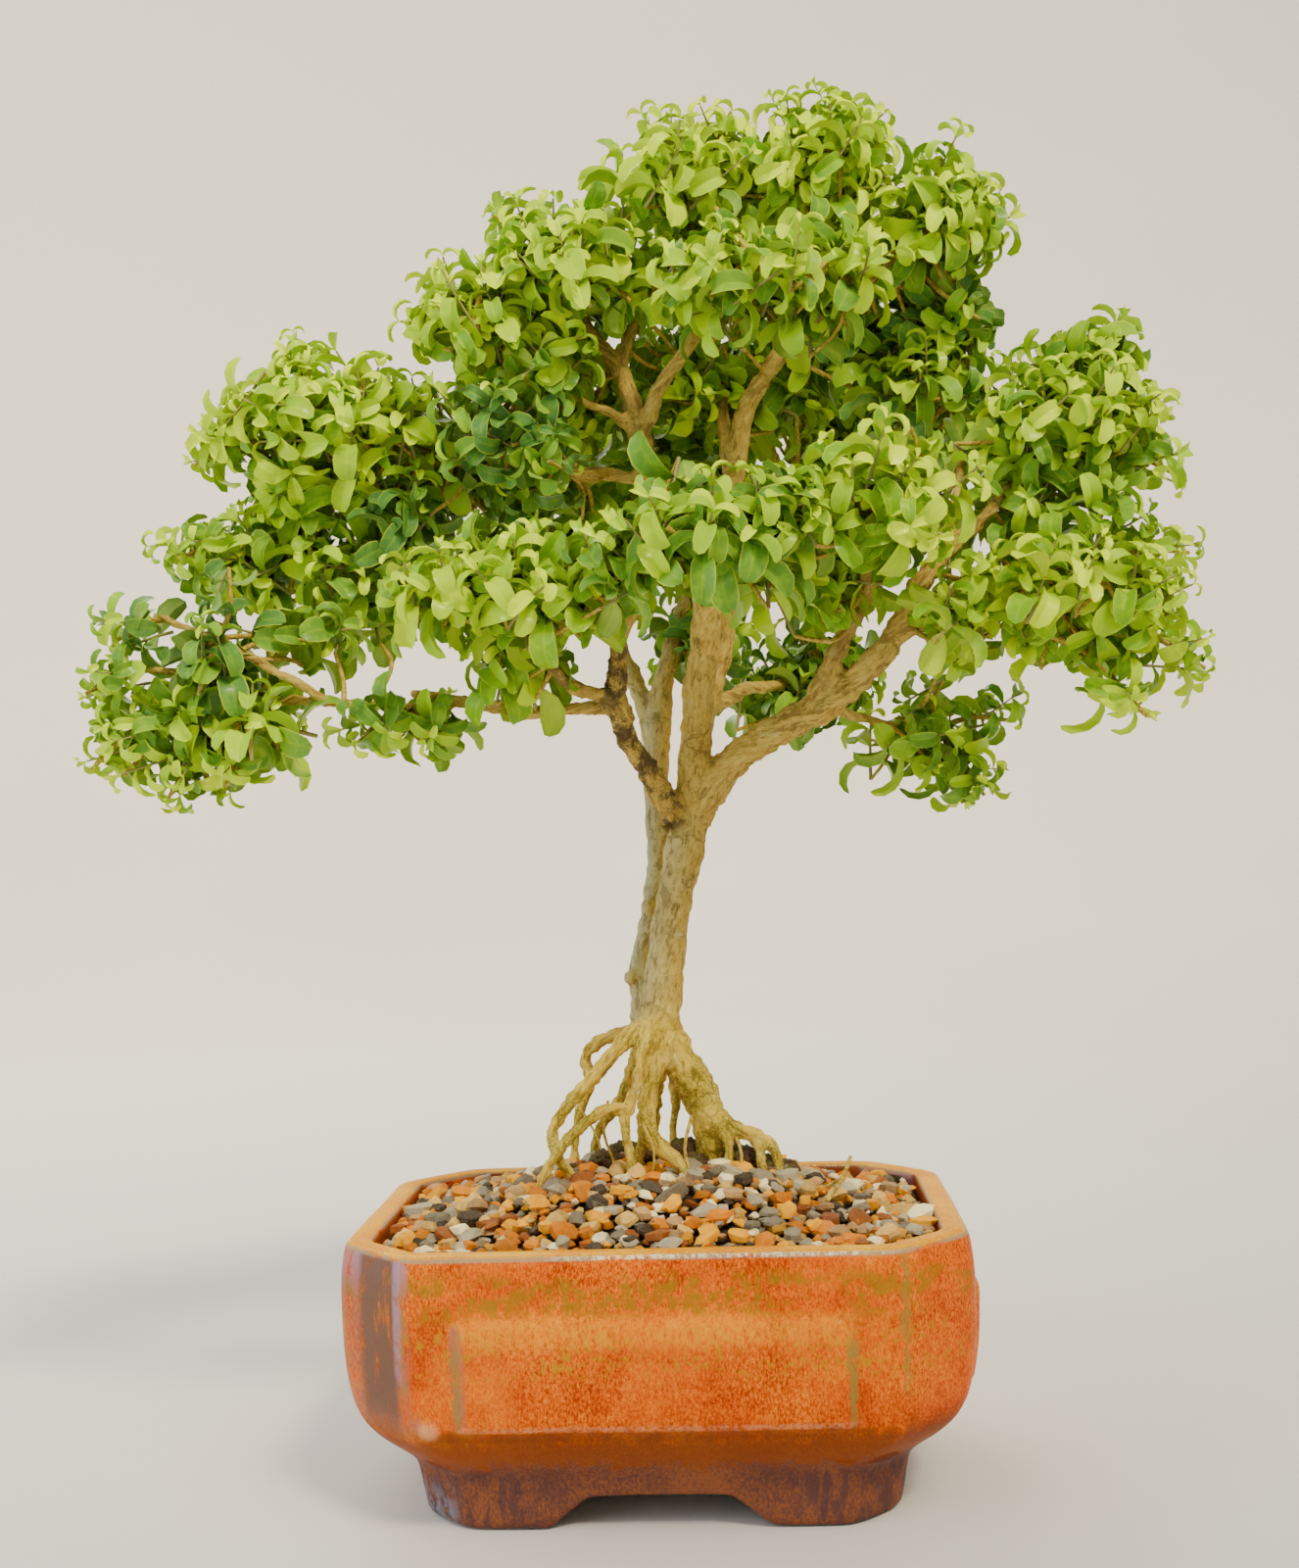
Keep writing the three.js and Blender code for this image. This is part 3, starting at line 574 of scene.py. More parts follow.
# %% [markdown]
# The feet stand at the corners with a low arch between each two. Cuts across the underside mark them
# out, the four corner patches are extruded down, and the bottoms of their flanks are moved apart, so
# that the arch is narrower above than at the table. Two round holes in the floor let water out.

# %% The feet and the drain holes
long_arch_top = 17.5
long_arch_foot = 27
end_arch_top = 10
end_arch_foot = 18
foot_ring = 9
drain_radius = 7.5
drain_offset = 27


def make_feet(pot):
    inner_x = foot_half_width - foot_ring
    inner_y = foot_half_depth - foot_ring
    editing(pot)
    for side in (-1, 1):
        for reach in (long_arch_top, inner_x):
            cut((side * reach, 0, 0), (1, 0, 0))
        for reach in (end_arch_top, inner_y):
            cut((0, side * reach, 0), (0, 1, 0))

    def in_foot(centre, normal):
        by_long_side = abs(centre.y) > inner_y and abs(centre.x) > long_arch_top
        by_end = abs(centre.x) > inner_x and abs(centre.y) > end_arch_top
        return normal.z < -0.9 and centre.z < arch_height + 0.1 and (by_long_side or by_end)

    choose(pot, "FACE", in_foot)
    bpy.ops.mesh.extrude_region_move(TRANSFORM_OT_translate={"value": (0, 0, -arch_height)})
    drawn = between(rim_half_width, foot_half_width, 0.92)
    scale = foot_half_width / drawn
    bpy.ops.transform.resize(value=(scale, scale, 1), center_override=(0, 0, 0))
    for side in (-1, 1):
        choose(pot, "VERT", lambda v: v.z < 0.1 and abs(v.x - side * long_arch_top * scale) < 0.2)
        bpy.ops.transform.translate(value=(side * (long_arch_foot - long_arch_top), 0, 0))
        choose(pot, "VERT", lambda v: v.z < 0.1 and abs(v.y - side * end_arch_top * scale) < 0.2)
        bpy.ops.transform.translate(value=(0, side * (end_arch_foot - end_arch_top), 0))
    done()


def drill_holes(pot):
    for side in (-1, 1):
        place = (side * drain_offset, 0, arch_height + 2)
        bpy.ops.mesh.primitive_cylinder_add(vertices=32, radius=drain_radius, depth=20, location=place)
        drill = bpy.context.object
        settle()
        modify(pot, "BOOLEAN", operation="DIFFERENCE", object=drill, solver="EXACT")
        bpy.data.objects.remove(drill)


make_feet(pot)
print("with feet:", len(pot.data.polygons), "faces")

# %% [markdown]
# Glaze rounds every edge. A bevel that finds all sharp edges by their angle holds them in place while a
# subdivision surface turns the stepped levels into one smooth swell. A voxel remesh then gives the pot
# even small faces, and smoothing those rounds every edge alike, as melted glaze does. Last, a very weak
# displacement takes away the machine flatness, and a few vertices are pulled out where the real glaze
# has a blister.

# %% Soften the pot
edge_round = 1
edge_angle = math.radians(24)
pot_voxel = 1.25
edge_softness = 7
hand_waviness = 0.35
wave_length = 28
blister_place = Vector((-53.7, -54.5, 28.5))
blister_way = Vector((-0.3, -0.9, 0.2))
blister_reach = 4.5
blister_rise = 1.3


def soften(pot):
    modify(pot, "BEVEL", width=edge_round, segments=1, limit_method="ANGLE", angle_limit=edge_angle)
    modify(pot, "SUBSURF", levels=1, render_levels=1)
    drill_holes(pot)
    modify(pot, "REMESH", mode="VOXEL", voxel_size=pot_voxel)
    modify(pot, "SMOOTH", factor=0.5, iterations=edge_softness)
    wave = bpy.data.textures.new("hand_wave", "CLOUDS")
    wave.noise_scale = wave_length
    modify(pot, "DISPLACE", texture=wave, strength=hand_waviness, mid_level=0.5, texture_coords="LOCAL")
    for vertex in pot.data.vertices:
        near = max(0, 1 - (vertex.co - blister_place).length / blister_reach)
        vertex.co += blister_way * blister_rise * near * near * (3 - 2 * near)
        vertex.co.z = max(vertex.co.z, 0)
    only(pot)
    bpy.ops.object.shade_smooth()


soften(pot)
print("softened:", len(pot.data.polygons), "faces")

# %% [markdown]
# ## The glaze
# An orange-red glaze broke over this pot as it ran: thin on edges, where it turns olive and grey, thick on
# the flats, where fine rust-coloured specks run down, ochre on the flat rim, and purple-brown where it
# pooled on the skirt. Some light and shade is painted into the colour as well: highlights along the panels'
# edges, on the rim's front and on the blister, a cool violet reflection on the front left corner, and shade
# in the crease under the panels and where the belly curves under. Each of these is a colour laid over the
# last one through a mask, and a mask is a band of height or width in millimetres, roughened by a cloud
# pattern. The base has no shine of its own, because the pale room would turn the orange pink. A thin clear
# coat over it gives the glints.

# %% The glaze's colours
rust = (0.26, 0.028, 0.0)
orange_red = (0.55, 0.06, 0.0)
orange = (0.76, 0.13, 0.0)
pale_orange = (0.92, 0.28, 0.0)
olive = (0.3, 0.17, 0.008)
fleck_yellow = (0.46, 0.26, 0.006)
line_olive = (0.27, 0.21, 0.04)
ochre = (0.86, 0.37, 0.0)
edge_grey = (0.36, 0.33, 0.2)
under_brown_and_shade = (0.2, 0.05, 0.01)
skirt_purple = (0.12, 0.048, 0.038)
skirt_orange = (0.28, 0.09, 0.034)
inner_brown = (0.2, 0.055, 0.025)
reflected_lilac = (0.42, 0.26, 0.36)
streak_grey = (0.14, 0.085, 0.06)
pit_brown = (0.12, 0.03, 0.012)
highlight_yellow = (0.98, 0.42, 0.0)
highlight_pink = (0.9, 0.42, 0.2)
shade_brown = (0.16, 0.035, 0.004)
reflected_violet = (0.35, 0.15, 0.11)
pooled_violet = (0.075, 0.04, 0.045)
foot_blue = (0.22, 0.25, 0.32)
painted_glint_cream = (1.0, 0.86, 0.55)
bare_clay = (0.16, 0.085, 0.05)
blister_highlight = (0.85, 0.5, 0.25)
rim_tones = [(0.4, (0.68, 0.19, 0.0)), (0.5, ochre), (0.6, (0.95, 0.52, 0.0))]
flat_tones = [(0.38, rust), (0.45, orange_red), (0.52, orange), (0.63, pale_orange)]
print(len(flat_tones), "colours on the flats and", len(rim_tones), "on the rim")

# %% [markdown]
# The masks share a few patterns, so these are worked out once: the height, how far a place is from the
# middle, which way its surface faces, and clouds of several sizes. Some of the clouds are drawn out
# along the height, because glaze runs down before it sets.

# %% The glaze's patterns
def glaze_patterns(tree):
    """The heights, widths, directions and clouds that the glaze's masks are made of."""
    place = place_in_mm(tree)
    x, y, z = axes_of(tree, place)
    normal = node(tree, "ShaderNodeNewGeometry", {}, {}, "Normal")
    normal_x, normal_y, normal_z = axes_of(tree, normal)
    deep = sum_of(tree, "ABSOLUTE", y)
    speckle = cloud(tree, stretched(tree, place, (1, 1, 0.5)), 1.9, 6.0, 0.8)
    patch = cloud(tree, place, 0.06, 6.0, 0.68)
    calm = rise(tree, cloud(tree, place, 0.035, 3.0), 0.62, 0.38)
    strong = plus(tree, both(tree, calm, 0.5), 0.6)
    grain = both(tree, minus(tree, speckle, 0.5), strong)
    return SimpleNamespace(
        place=place,
        x=x,
        z=z,
        wide=sum_of(tree, "ABSOLUTE", x),
        deep=deep,
        normal_x=normal_x,
        normal_y=normal_y,
        normal_z=normal_z,
        speckle=speckle,
        mottle=plus(tree, plus(tree, grain, both(tree, patch, 0.36)), 0.32),
        ragged=cloud(tree, stretched(tree, place, (1, 1, 0.6)), 0.35, 6.0, 0.7),
        runs=cloud(tree, stretched(tree, place, (1, 1, 0.25)), 0.32, 6.0, 0.7),
        broad=cloud(tree, stretched(tree, place, (0.6, 0.6, 1.6)), 0.09, 4.0, 0.6),
        flecks=cloud(tree, stretched(tree, place, (1, 1, 0.5)), 0.8, 5.0, 0.75),
        outside=both(tree, rise(tree, normal_z, 0.6, 0.4), rise(tree, z, 24.0, 27.0)),
        on_long_side=rise(tree, deep, 50.0, 52.0),
        on_rim=both(tree, rise(tree, normal_z, 0.55, 0.8), rise(tree, z, 66.0, 68.0)),
    )


# %% [markdown]
# The flats come first: orange-red with rust specks, crossed by olive and yellow where the glaze ran thin.
# The lines of the raised panels follow. They could be found from the mesh's edges, but bands of width and
# height, frayed by a cloud, look more like glaze that has drawn back from an edge. Last come a painted
# highlight along each panel's top and lower edge, and painted shade in the crease under it.

# %% The glaze on the flats and panels, and painted light on the panel edges
def glaze_flats(tree, here):
    colour = colours(tree, here.mottle, flat_tones)
    upper = both(
        tree, band(tree, here.z, 57.0, 62.0, 5.0), rise(tree, here.broad, 0.42, 0.54),
        rise(tree, here.ragged, 0.4, 0.54), here.outside,
    )
    colour = tinted(tree, colour, olive, 0.8, upper)
    yellow = both(
        tree, band(tree, here.z, 43.0, 50.0, 5.0), rise(tree, here.broad, 0.4, 0.52),
        rise(tree, here.flecks, 0.52, 0.58), here.outside,
    )
    colour = tinted(tree, colour, fleck_yellow, 0.85, yellow)
    pits = rise(tree, cloud(tree, here.place, 2.3, 2.0), 0.68, 0.74)
    return tinted(tree, colour, pit_brown, 0.7, pits)


def glaze_panel_lines(tree, here, colour):
    frayed = plus(tree, here.wide, both(tree, minus(tree, here.ragged, 0.5), 5.0))
    panel_line = both(
        tree, band(tree, frayed, long_panel_half - 1.5, long_panel_half + 0.2, 0.6),
        band(tree, here.z, 32.0, 46.0, 6.0), here.on_long_side, rise(tree, here.flecks, 0.36, 0.46),
    )
    corner_line = both(
        tree, band(tree, frayed, 58.9, 60.2, 0.6), band(tree, here.z, 40.0, 66.0, 8.0),
        here.on_long_side, rise(tree, here.flecks, 0.4, 0.52),
    )
    lines = sum_of(tree, "MAXIMUM", panel_line, both(tree, corner_line, 0.8))
    return tinted(tree, colour, line_olive, 0.8, lines)


def painted_light_on_panel_edges(tree, here, colour):
    panel_ends = both(tree, here.on_long_side, rise(tree, here.wide, 50.0, 44.0))
    # Painted highlight along the panel's rounded top edge.
    ring = both(
        tree, band(tree, here.z, 50.5, 53.0, 4.0), panel_ends, rise(tree, here.flecks, 0.28, 0.68),
    )
    colour = tinted(tree, colour, highlight_yellow, 0.55, ring)
    # Painted highlight along the panel's lower edge.
    lower_edge_highlight = both(tree, band(tree, here.z, 28.2, 29.0, 1.0), panel_ends, rise(tree, here.flecks, 0.4, 0.56))
    colour = tinted(tree, colour, highlight_pink, 0.45, lower_edge_highlight)
    # Painted shade in the crease under the panel.
    crease_shade = both(
        tree, band(tree, here.z, 25.5, 27.0, 1.2), rise(tree, here.wide, 54.0, 50.0),
        rise(tree, here.deep, 44.0, 46.0),
    )
    return tinted(tree, colour, shade_brown, 0.5, crease_shade)


# %% [markdown]
# The cut corner at the front left is the pot's most uneven place: one dark streak runs from the rim down,
# and violet and lilac are painted over it as a reflection of the cool light from the left. It is told apart
# by the way its surface faces, so nothing of it shows elsewhere. Below, the belly is brown where it curves
# under, partly the glaze's own colour and partly painted shade; the glaze pooled violet on the skirt, and
# the left foot is bluish.

# %% The glaze on the corner and the skirt, with painted reflection and shade
def glaze_and_reflection_on_left_corner(tree, here, colour):
    facing = rise(tree, plus(tree, here.normal_x, here.normal_y), -1.15, -1.3)
    # Painted reflection of the cool light from the left: violet over the corner, and lilac near its top.
    violet_reflection = both(tree, facing, rise(tree, here.runs, 0.3, 0.6), here.outside)
    colour = tinted(tree, colour, reflected_violet, 0.6, violet_reflection)
    top = both(
        tree, facing, rise(tree, here.z, 56.0, 69.0), rise(tree, here.runs, 0.36, 0.56), here.outside,
    )
    colour = tinted(tree, colour, reflected_lilac, 0.65, top)
    streak = both(
        tree, facing, band(tree, here.x, -70.0, -62.0, 2.5), rise(tree, here.z, 18.0, 34.0),
        rise(tree, here.runs, 0.26, 0.46),
    )
    colour = tinted(tree, colour, streak_grey, 0.88, streak)
    # Painted reflection: lilac beside the dark streak.
    reflection_beside_streak = both(
        tree, facing, band(tree, here.x, -61.2, -60.0, 0.8), rise(tree, here.z, 30.0, 50.0),
        rise(tree, here.ragged, 0.35, 0.55),
    )
    return tinted(tree, colour, reflected_lilac, 0.6, reflection_beside_streak)


def glaze_and_shade_on_skirt(tree, here, colour):
    low_height = plus(tree, here.z, both(tree, minus(tree, here.runs, 0.5), 14.0))
    # Brown where the belly curves under: partly the glaze's own colour, partly painted shade.
    colour = tinted(tree, colour, under_brown_and_shade, 0.85, rise(tree, low_height, 30.0, 23.0))
    skirt = laid_over(tree, rise(tree, here.mottle, 0.42, 0.6), skirt_purple, skirt_orange)
    pooled = both(tree, rise(tree, here.runs, 0.44, 0.56), rise(tree, here.wide, 16.0, 40.0))
    skirt = tinted(tree, skirt, pooled_violet, 0.7, pooled)
    colour = laid_over(tree, rise(tree, low_height, 19.0, 14.5), colour, skirt)
    blue_foot = both(
        tree, rise(tree, here.x, -47.0, -53.0), rise(tree, here.z, 13.0, 2.0),
        rise(tree, here.ragged, 0.42, 0.6),
    )
    return tinted(tree, colour, foot_blue, 0.8, blue_foot)


# %% [markdown]
# Last come the flat ochre rim, the grey edge round it and a painted cream glint on its front, then the
# brown inside, the bare clay under the feet and a painted highlight on the blister. The roughness follows
# the same clouds, and the rim is made duller than the walls, so that the pale room does not wash out its
# ochre.

# %% The glaze on the rim, and its finish
def glaze_and_glint_on_rim(tree, here, colour):
    colour = laid_over(tree, here.on_rim, colour, colours(tree, here.mottle, rim_tones))
    edge = both(
        tree, band(tree, here.z, 68.0, 69.2, 0.5), band(tree, here.normal_z, 0.35, 0.75, 0.15),
        rise(tree, here.broad, 0.36, 0.52),
    )
    colour = tinted(tree, colour, edge_grey, 0.7, edge)
    # Painted highlight: a cream glint along the rim's front edge.
    painted_glint = both(
        tree, band(tree, here.z, 68.2, 69.2, 0.4), band(tree, here.normal_z, 0.4, 0.75, 0.12),
        band(tree, here.x, -10.0, 44.0, 20.0), rise(tree, here.normal_y, -0.3, -0.5),
        rise(tree, here.flecks, 0.46, 0.58),
    )
    return tinted(tree, colour, painted_glint_cream, 0.85, painted_glint)


def glaze_hidden_sides(tree, here, colour):
    inside = both(
        tree, rise(tree, here.wide, 71.0, 70.2), rise(tree, here.deep, 50.7, 49.9),
        rise(tree, plus(tree, here.wide, here.deep), 106.0, 104.5), rise(tree, here.z, 20.0, 25.0),
        rise(tree, here.normal_z, 0.7, 0.5),
    )
    colour = tinted(tree, colour, inner_brown, 0.85, inside)
    bare = both(tree, rise(tree, here.normal_z, -0.7, -0.9), rise(tree, here.z, 18.0, 15.0))
    return tinted(tree, colour, bare_clay, 0.9, bare)


def glaze_material():
    material, tree, shader = new_material("glaze")
    here = glaze_patterns(tree)
    colour = glaze_flats(tree, here)
    for lay in (
        glaze_panel_lines, painted_light_on_panel_edges, glaze_and_reflection_on_left_corner, glaze_and_shade_on_skirt, glaze_and_glint_on_rim,
        glaze_hidden_sides,
    ):
        colour = lay(tree, here, colour)
    # Painted highlight on the raised blister.
    inputs = {0: here.place, 1: blister_place}
    far = node(tree, "ShaderNodeVectorMath", {"operation": "DISTANCE"}, inputs, 1)
    colour = tinted(tree, colour, blister_highlight, 0.6, rise(tree, far, 3.6, 1.6))
    roughness = shades(tree, here.ragged, 0.3, 0.17, 0.7, 0.34)
    roughness = tinted(tree, roughness, (0.6, 0.6, 0.6), 0.9, here.on_rim)
    peel = plus(tree, both(tree, here.speckle, 0.4), cloud(tree, here.place, 0.22, 3.0))
    wire(tree, shader, colour, roughness, bumps(tree, peel, 0.3, 0.8))
    gloss(shader, 0.0, coat=0.26, coat_ior=1.35, coat_roughness=0.05)
    return material


into_frame(pot, glaze_material(), "glaze", "pot")

# %% [markdown]
# ## The drain meshes
# Two squares of plastic mesh lie over the holes, seen only from below. Their solids already have the
# right shape, so they stay, and only get a finish: dull black plastic with a little dust on it.

# %% The drain meshes
def mesh_plastic():
    material, tree, shader = new_material("drain_plastic")
    place = place_in_mm(tree)
    dust = cloud(tree, place, 0.5, 4.0, 0.6)
    colour = colours(tree, dust, [(0.4, (0.02, 0.022, 0.02)), (0.75, (0.1, 0.08, 0.055))])
    roughness = shades(tree, dust, 0.3, 0.45, 0.7, 0.8)
    wire(tree, shader, colour, roughness, bumps(tree, dust, 0.05))
    return material


plastic = mesh_plastic()
for name in ("drain_mesh_left", "drain_mesh_right"):
    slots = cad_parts[name].data.materials
    slots.clear()
    slots.append(plastic)
    print(name, "is finished in", plastic.name)

# %% [markdown]
# ## The soil
# Under the gravel lies a bed of dark grit, raised to the foot of the tree. A ball or a cone would not
# meet the pot's wall, so the bed is a fine grid as wide as the pot's inside, whose corners are cut off
# by four planes. It is extruded down to the pot's floor, so that it is closed all round, and then its
# top is lifted to a mound.

# %% The soil's bed
soil_edge = 66.2
soil_rise = 10.4
mound_half_width = 74
mound_half_depth = 54
bed_step = 2.2
bed_depth = 50
bed_foot_share = (0.76, 0.78, 1)
bed_floor = floor_top + 2.4
grit_below_stones = 1.6
bed_half_width = rim_half_width - pot_wall - 0.4
bed_half_depth = rim_half_depth - pot_wall - 0.4
bed_corner = (rim_half_width + rim_half_depth - rim_corner_cut) / math.sqrt(2) - pot_wall - 0.4


def mound_height(x, y):
    """The soil's height: level along the wall, rising to a low dome in the middle."""
    out = math.hypot(x / mound_half_width, y / mound_half_depth)
    share = max(0.0, min(1.0, (1 - out) / 0.72))
    return soil_edge + soil_rise * share * share * (3 - 2 * share)


def make_bed():
    columns = int(2 * bed_half_width / bed_step)
    rows = int(2 * bed_half_depth / bed_step)
    bpy.ops.mesh.primitive_grid_add(x_subdivisions=columns, y_subdivisions=rows, size=1)
    bed = bpy.context.object
    bed.name = "soil_base"
    bed.scale = (2 * bed_half_width, 2 * bed_half_depth, 1)
    settle()
    editing(bed)
    for turn in (45, 135, 225, 315):
        way = Vector((math.cos(math.radians(turn)), math.sin(math.radians(turn)), 0))
        bpy.ops.mesh.select_all(action="SELECT")
        bpy.ops.mesh.bisect(plane_co=way * bed_corner, plane_no=way, clear_outer=True)
    bpy.ops.mesh.select_all(action="SELECT")
    bpy.ops.mesh.extrude_region_move(TRANSFORM_OT_translate={"value": (0, 0, -bed_depth)})
    bpy.ops.transform.resize(value=bed_foot_share, center_override=(0, 0, -bed_depth))
    done()
    for vertex in bed.data.vertices:
        x, y, z = vertex.co
        if z > -1:
            grit = noise.noise(Vector((x, y, 0)) * 0.3)
            vertex.co.z = mound_height(x, y) - grit_below_stones + grit
        else:
            vertex.co.z = bed_floor
    editing(bed)
    bpy.ops.mesh.select_all(action="SELECT")
    bpy.ops.mesh.normals_make_consistent(inside=False)
    done()
    return bed


def grit_material():
    material, tree, shader = new_material("grit")
    place = place_in_mm(tree)
    grains = cloud(tree, place, 1.2, 5.0, 0.7)
    colour = colours(tree, grains, [
        (0.3, (0.012, 0.009, 0.006)), (0.5, (0.05, 0.032, 0.018)), (0.7, (0.13, 0.08, 0.045)),
    ])
    wire(tree, shader, colour, rise(tree, grains, -0.6, 0.6), bumps(tree, grains, 0.5))
    return material


bed = make_bed()
into_frame(bed, grit_material(), "gravel", "soil_bed")

# %% [markdown]
# ## The gravel
# The stones are 3 to 8 mm: broken tan and orange clay, grey and dark slate, and some white. They could
# be carved one by one, but a handful of different stones, copied and turned, is enough for the eye.
# Each is a cube, bevelled, with every corner nudged.

# %% Stones to copy
stone_kinds = 7


def model_stone(index):
    draw = random.Random(100 + index)
    bpy.ops.mesh.primitive_cube_add(size=2)
    stone = bpy.context.object
    stone.name = f"stone_{index}"
    editing(stone)
    bpy.ops.mesh.bevel(offset=draw.uniform(0.45, 0.75), segments=1, affect="EDGES")
    done()
    for vertex in stone.data.vertices:
        vertex.co *= draw.uniform(0.72, 1.15)
        vertex.co.x *= 1.12
        vertex.co.z *= 0.72
    for face in stone.data.polygons:
        face.use_smooth = True
    stone.data.attributes.new("stone", "FLOAT_COLOR", "POINT")
    return taken_out(stone)


stones = [model_stone(index) for index in range(stone_kinds)]
print("a stone has", len(stones[0].polygons), "faces")

# %% [markdown]
# Gravel could be poured by a simulation, but then every run might end differently. Here the stones are
# laid by seeded chance in two layers: a small layer that hides the grit, and a looser one of larger
# stones above it. Each copy remembers three random numbers, which its material reads.

# %% Lay the stones
def paint(mesh, name, colour):
    """Writes one colour into every vertex of a mesh, or leaves a channel where it is None."""
    values = mesh.attributes[name].data
    old = [0.0] * (4 * len(values))
    values.foreach_get("color", old)
    for channel, value in enumerate(colour):
        if value is not None:
            old[channel::4] = [value] * len(values)
    values.foreach_set("color", old)


def in_bed(x, y, margin):
    return (
        abs(x) < bed_half_width - margin
        and abs(y) < bed_half_depth - margin
        and (abs(x) + abs(y)) / math.sqrt(2) < bed_corner - margin
    )


# Each layer's step, its smallest and largest half length of a stone, and its lift above the soil.
stone_layers = [(3.2, 1.2, 2.4, 0.3), (5.6, 1.7, 3.5, 1.5)]


def lay_stones(draw, step, small, large, lift):
    laid = []
    columns = int(2 * bed_half_width / step)
    rows = int(2 * bed_half_depth / step)
    for column in range(columns + 1):
        for row in range(rows + 1):
            x = -bed_half_width + (column + draw.uniform(-0.25, 0.75)) * step
            y = -bed_half_depth + (row + draw.uniform(-0.25, 0.75)) * step
            size = small + (large - small) * draw.random() ** 1.7
            if not in_bed(x, y, size * 0.8):
                continue
            place = Matrix.Translation((x, y, mound_height(x, y) + lift + draw.uniform(-0.5, 0.6)))
            angle = draw.uniform(-0.6, 0.6)
            lean = Matrix.Rotation(angle, 4, (draw.uniform(-1, 1), draw.uniform(-1, 1), 0.1))
            spin = Matrix.Rotation(draw.uniform(0, math.tau), 4, "Z")
            shares = (1, draw.uniform(0.72, 1), draw.uniform(0.7, 1.1))
            stretch = Matrix.Diagonal((*(size * share for share in shares), 1))
            stone = add_copy(draw.choice(stones), place @ lean @ spin @ stretch)
            paint(stone.data, "stone", (draw.random(), draw.random(), draw.random(), 1))
            laid.append(stone)
    return laid


def make_gravel():
    draw = random.Random(5)
    laid = [stone for layer in stone_layers for stone in lay_stones(draw, *layer)]
    print(len(laid), "stones")
    return join(laid, "gravel")


gravel = make_gravel()

# %% [markdown]
# The gravel's material turns each stone's first number into a colour by a ramp with hard steps, so that
# one stone is one kind of rock. The second makes it lighter or darker, the third makes some stones look
# damp, and clouds add veins and dust.

# %% The gravel's material
stone_and_bark_shine = 0.2
speck_pale = (0.55, 0.5, 0.42)
dirt_brown = (0.1, 0.065, 0.03)
# The first number is where each kind of rock begins among the stones' random numbers.
rock_colours = [
    (0.0, (0.58, 0.18, 0.0)), (0.19, (0.74, 0.33, 0.0)), (0.33, (0.27, 0.08, 0.015)),
    (0.4, (0.2, 0.17, 0.115)), (0.5, (0.36, 0.31, 0.2)), (0.61, (0.06, 0.045, 0.03)),
    (0.68, (0.92, 0.79, 0.44)), (0.78, (0.6, 0.37, 0.09)), (0.91, (0.42, 0.25, 0.1)),
]


def gravel_material():
    material, tree, shader = new_material("gravel_stone")
    place = place_in_mm(tree)
    own = node(tree, "ShaderNodeAttribute", {"attribute_name": "stone"}, {}, "Color")
    split = node(tree, "ShaderNodeSeparateColor", {}, {0: own}).node
    rock = colours(tree, split.outputs[0], rock_colours, "CONSTANT")
    vein = cloud(tree, place, 0.55, 5.0, 0.65)
    shade = plus(tree, both(tree, split.outputs[1], 0.55), both(tree, vein, 0.9))
    bright = laid_over(tree, 1.0, rock, shades(tree, shade, 0.2, 0.5, 1.0, 1.6), "MULTIPLY")
    specks = rise(tree, cloud(tree, place, 2.6, 2.0), 0.62, 0.7)
    colour = tinted(tree, bright, speck_pale, 0.35, specks)
    earthy = cloud(tree, place, 0.07, 5.0, 0.65)
    earth = both(tree, rise(tree, earthy, 0.5, 0.66), rise(tree, vein, 0.4, 0.6))
    colour = tinted(tree, colour, dirt_brown, 0.6, earth)
    damp = rise(tree, split.outputs[2], 0.7, 0.9)
    roughness = minus(tree, 0.86, both(tree, damp, 0.35))
    wire(tree, shader, colour, roughness, bumps(tree, cloud(tree, place, 1.8, 5.0, 0.7), 0.35))
    gloss(shader, stone_and_bark_shine)
    return material


only(gravel)
bpy.ops.object.shade_smooth_by_angle(angle=math.radians(30))
into_frame(gravel, gravel_material(), "gravel", "soil_bed")

# %% [markdown]
# ## The wood
# Two stems have grown together above a fan of bare roots, and divide into boughs that reach far left
# and right. Much the same rows of points as in the solid model lead every stem and root here: x, y and
# z in millimetres round the pot, and the radius. One row is one limb.

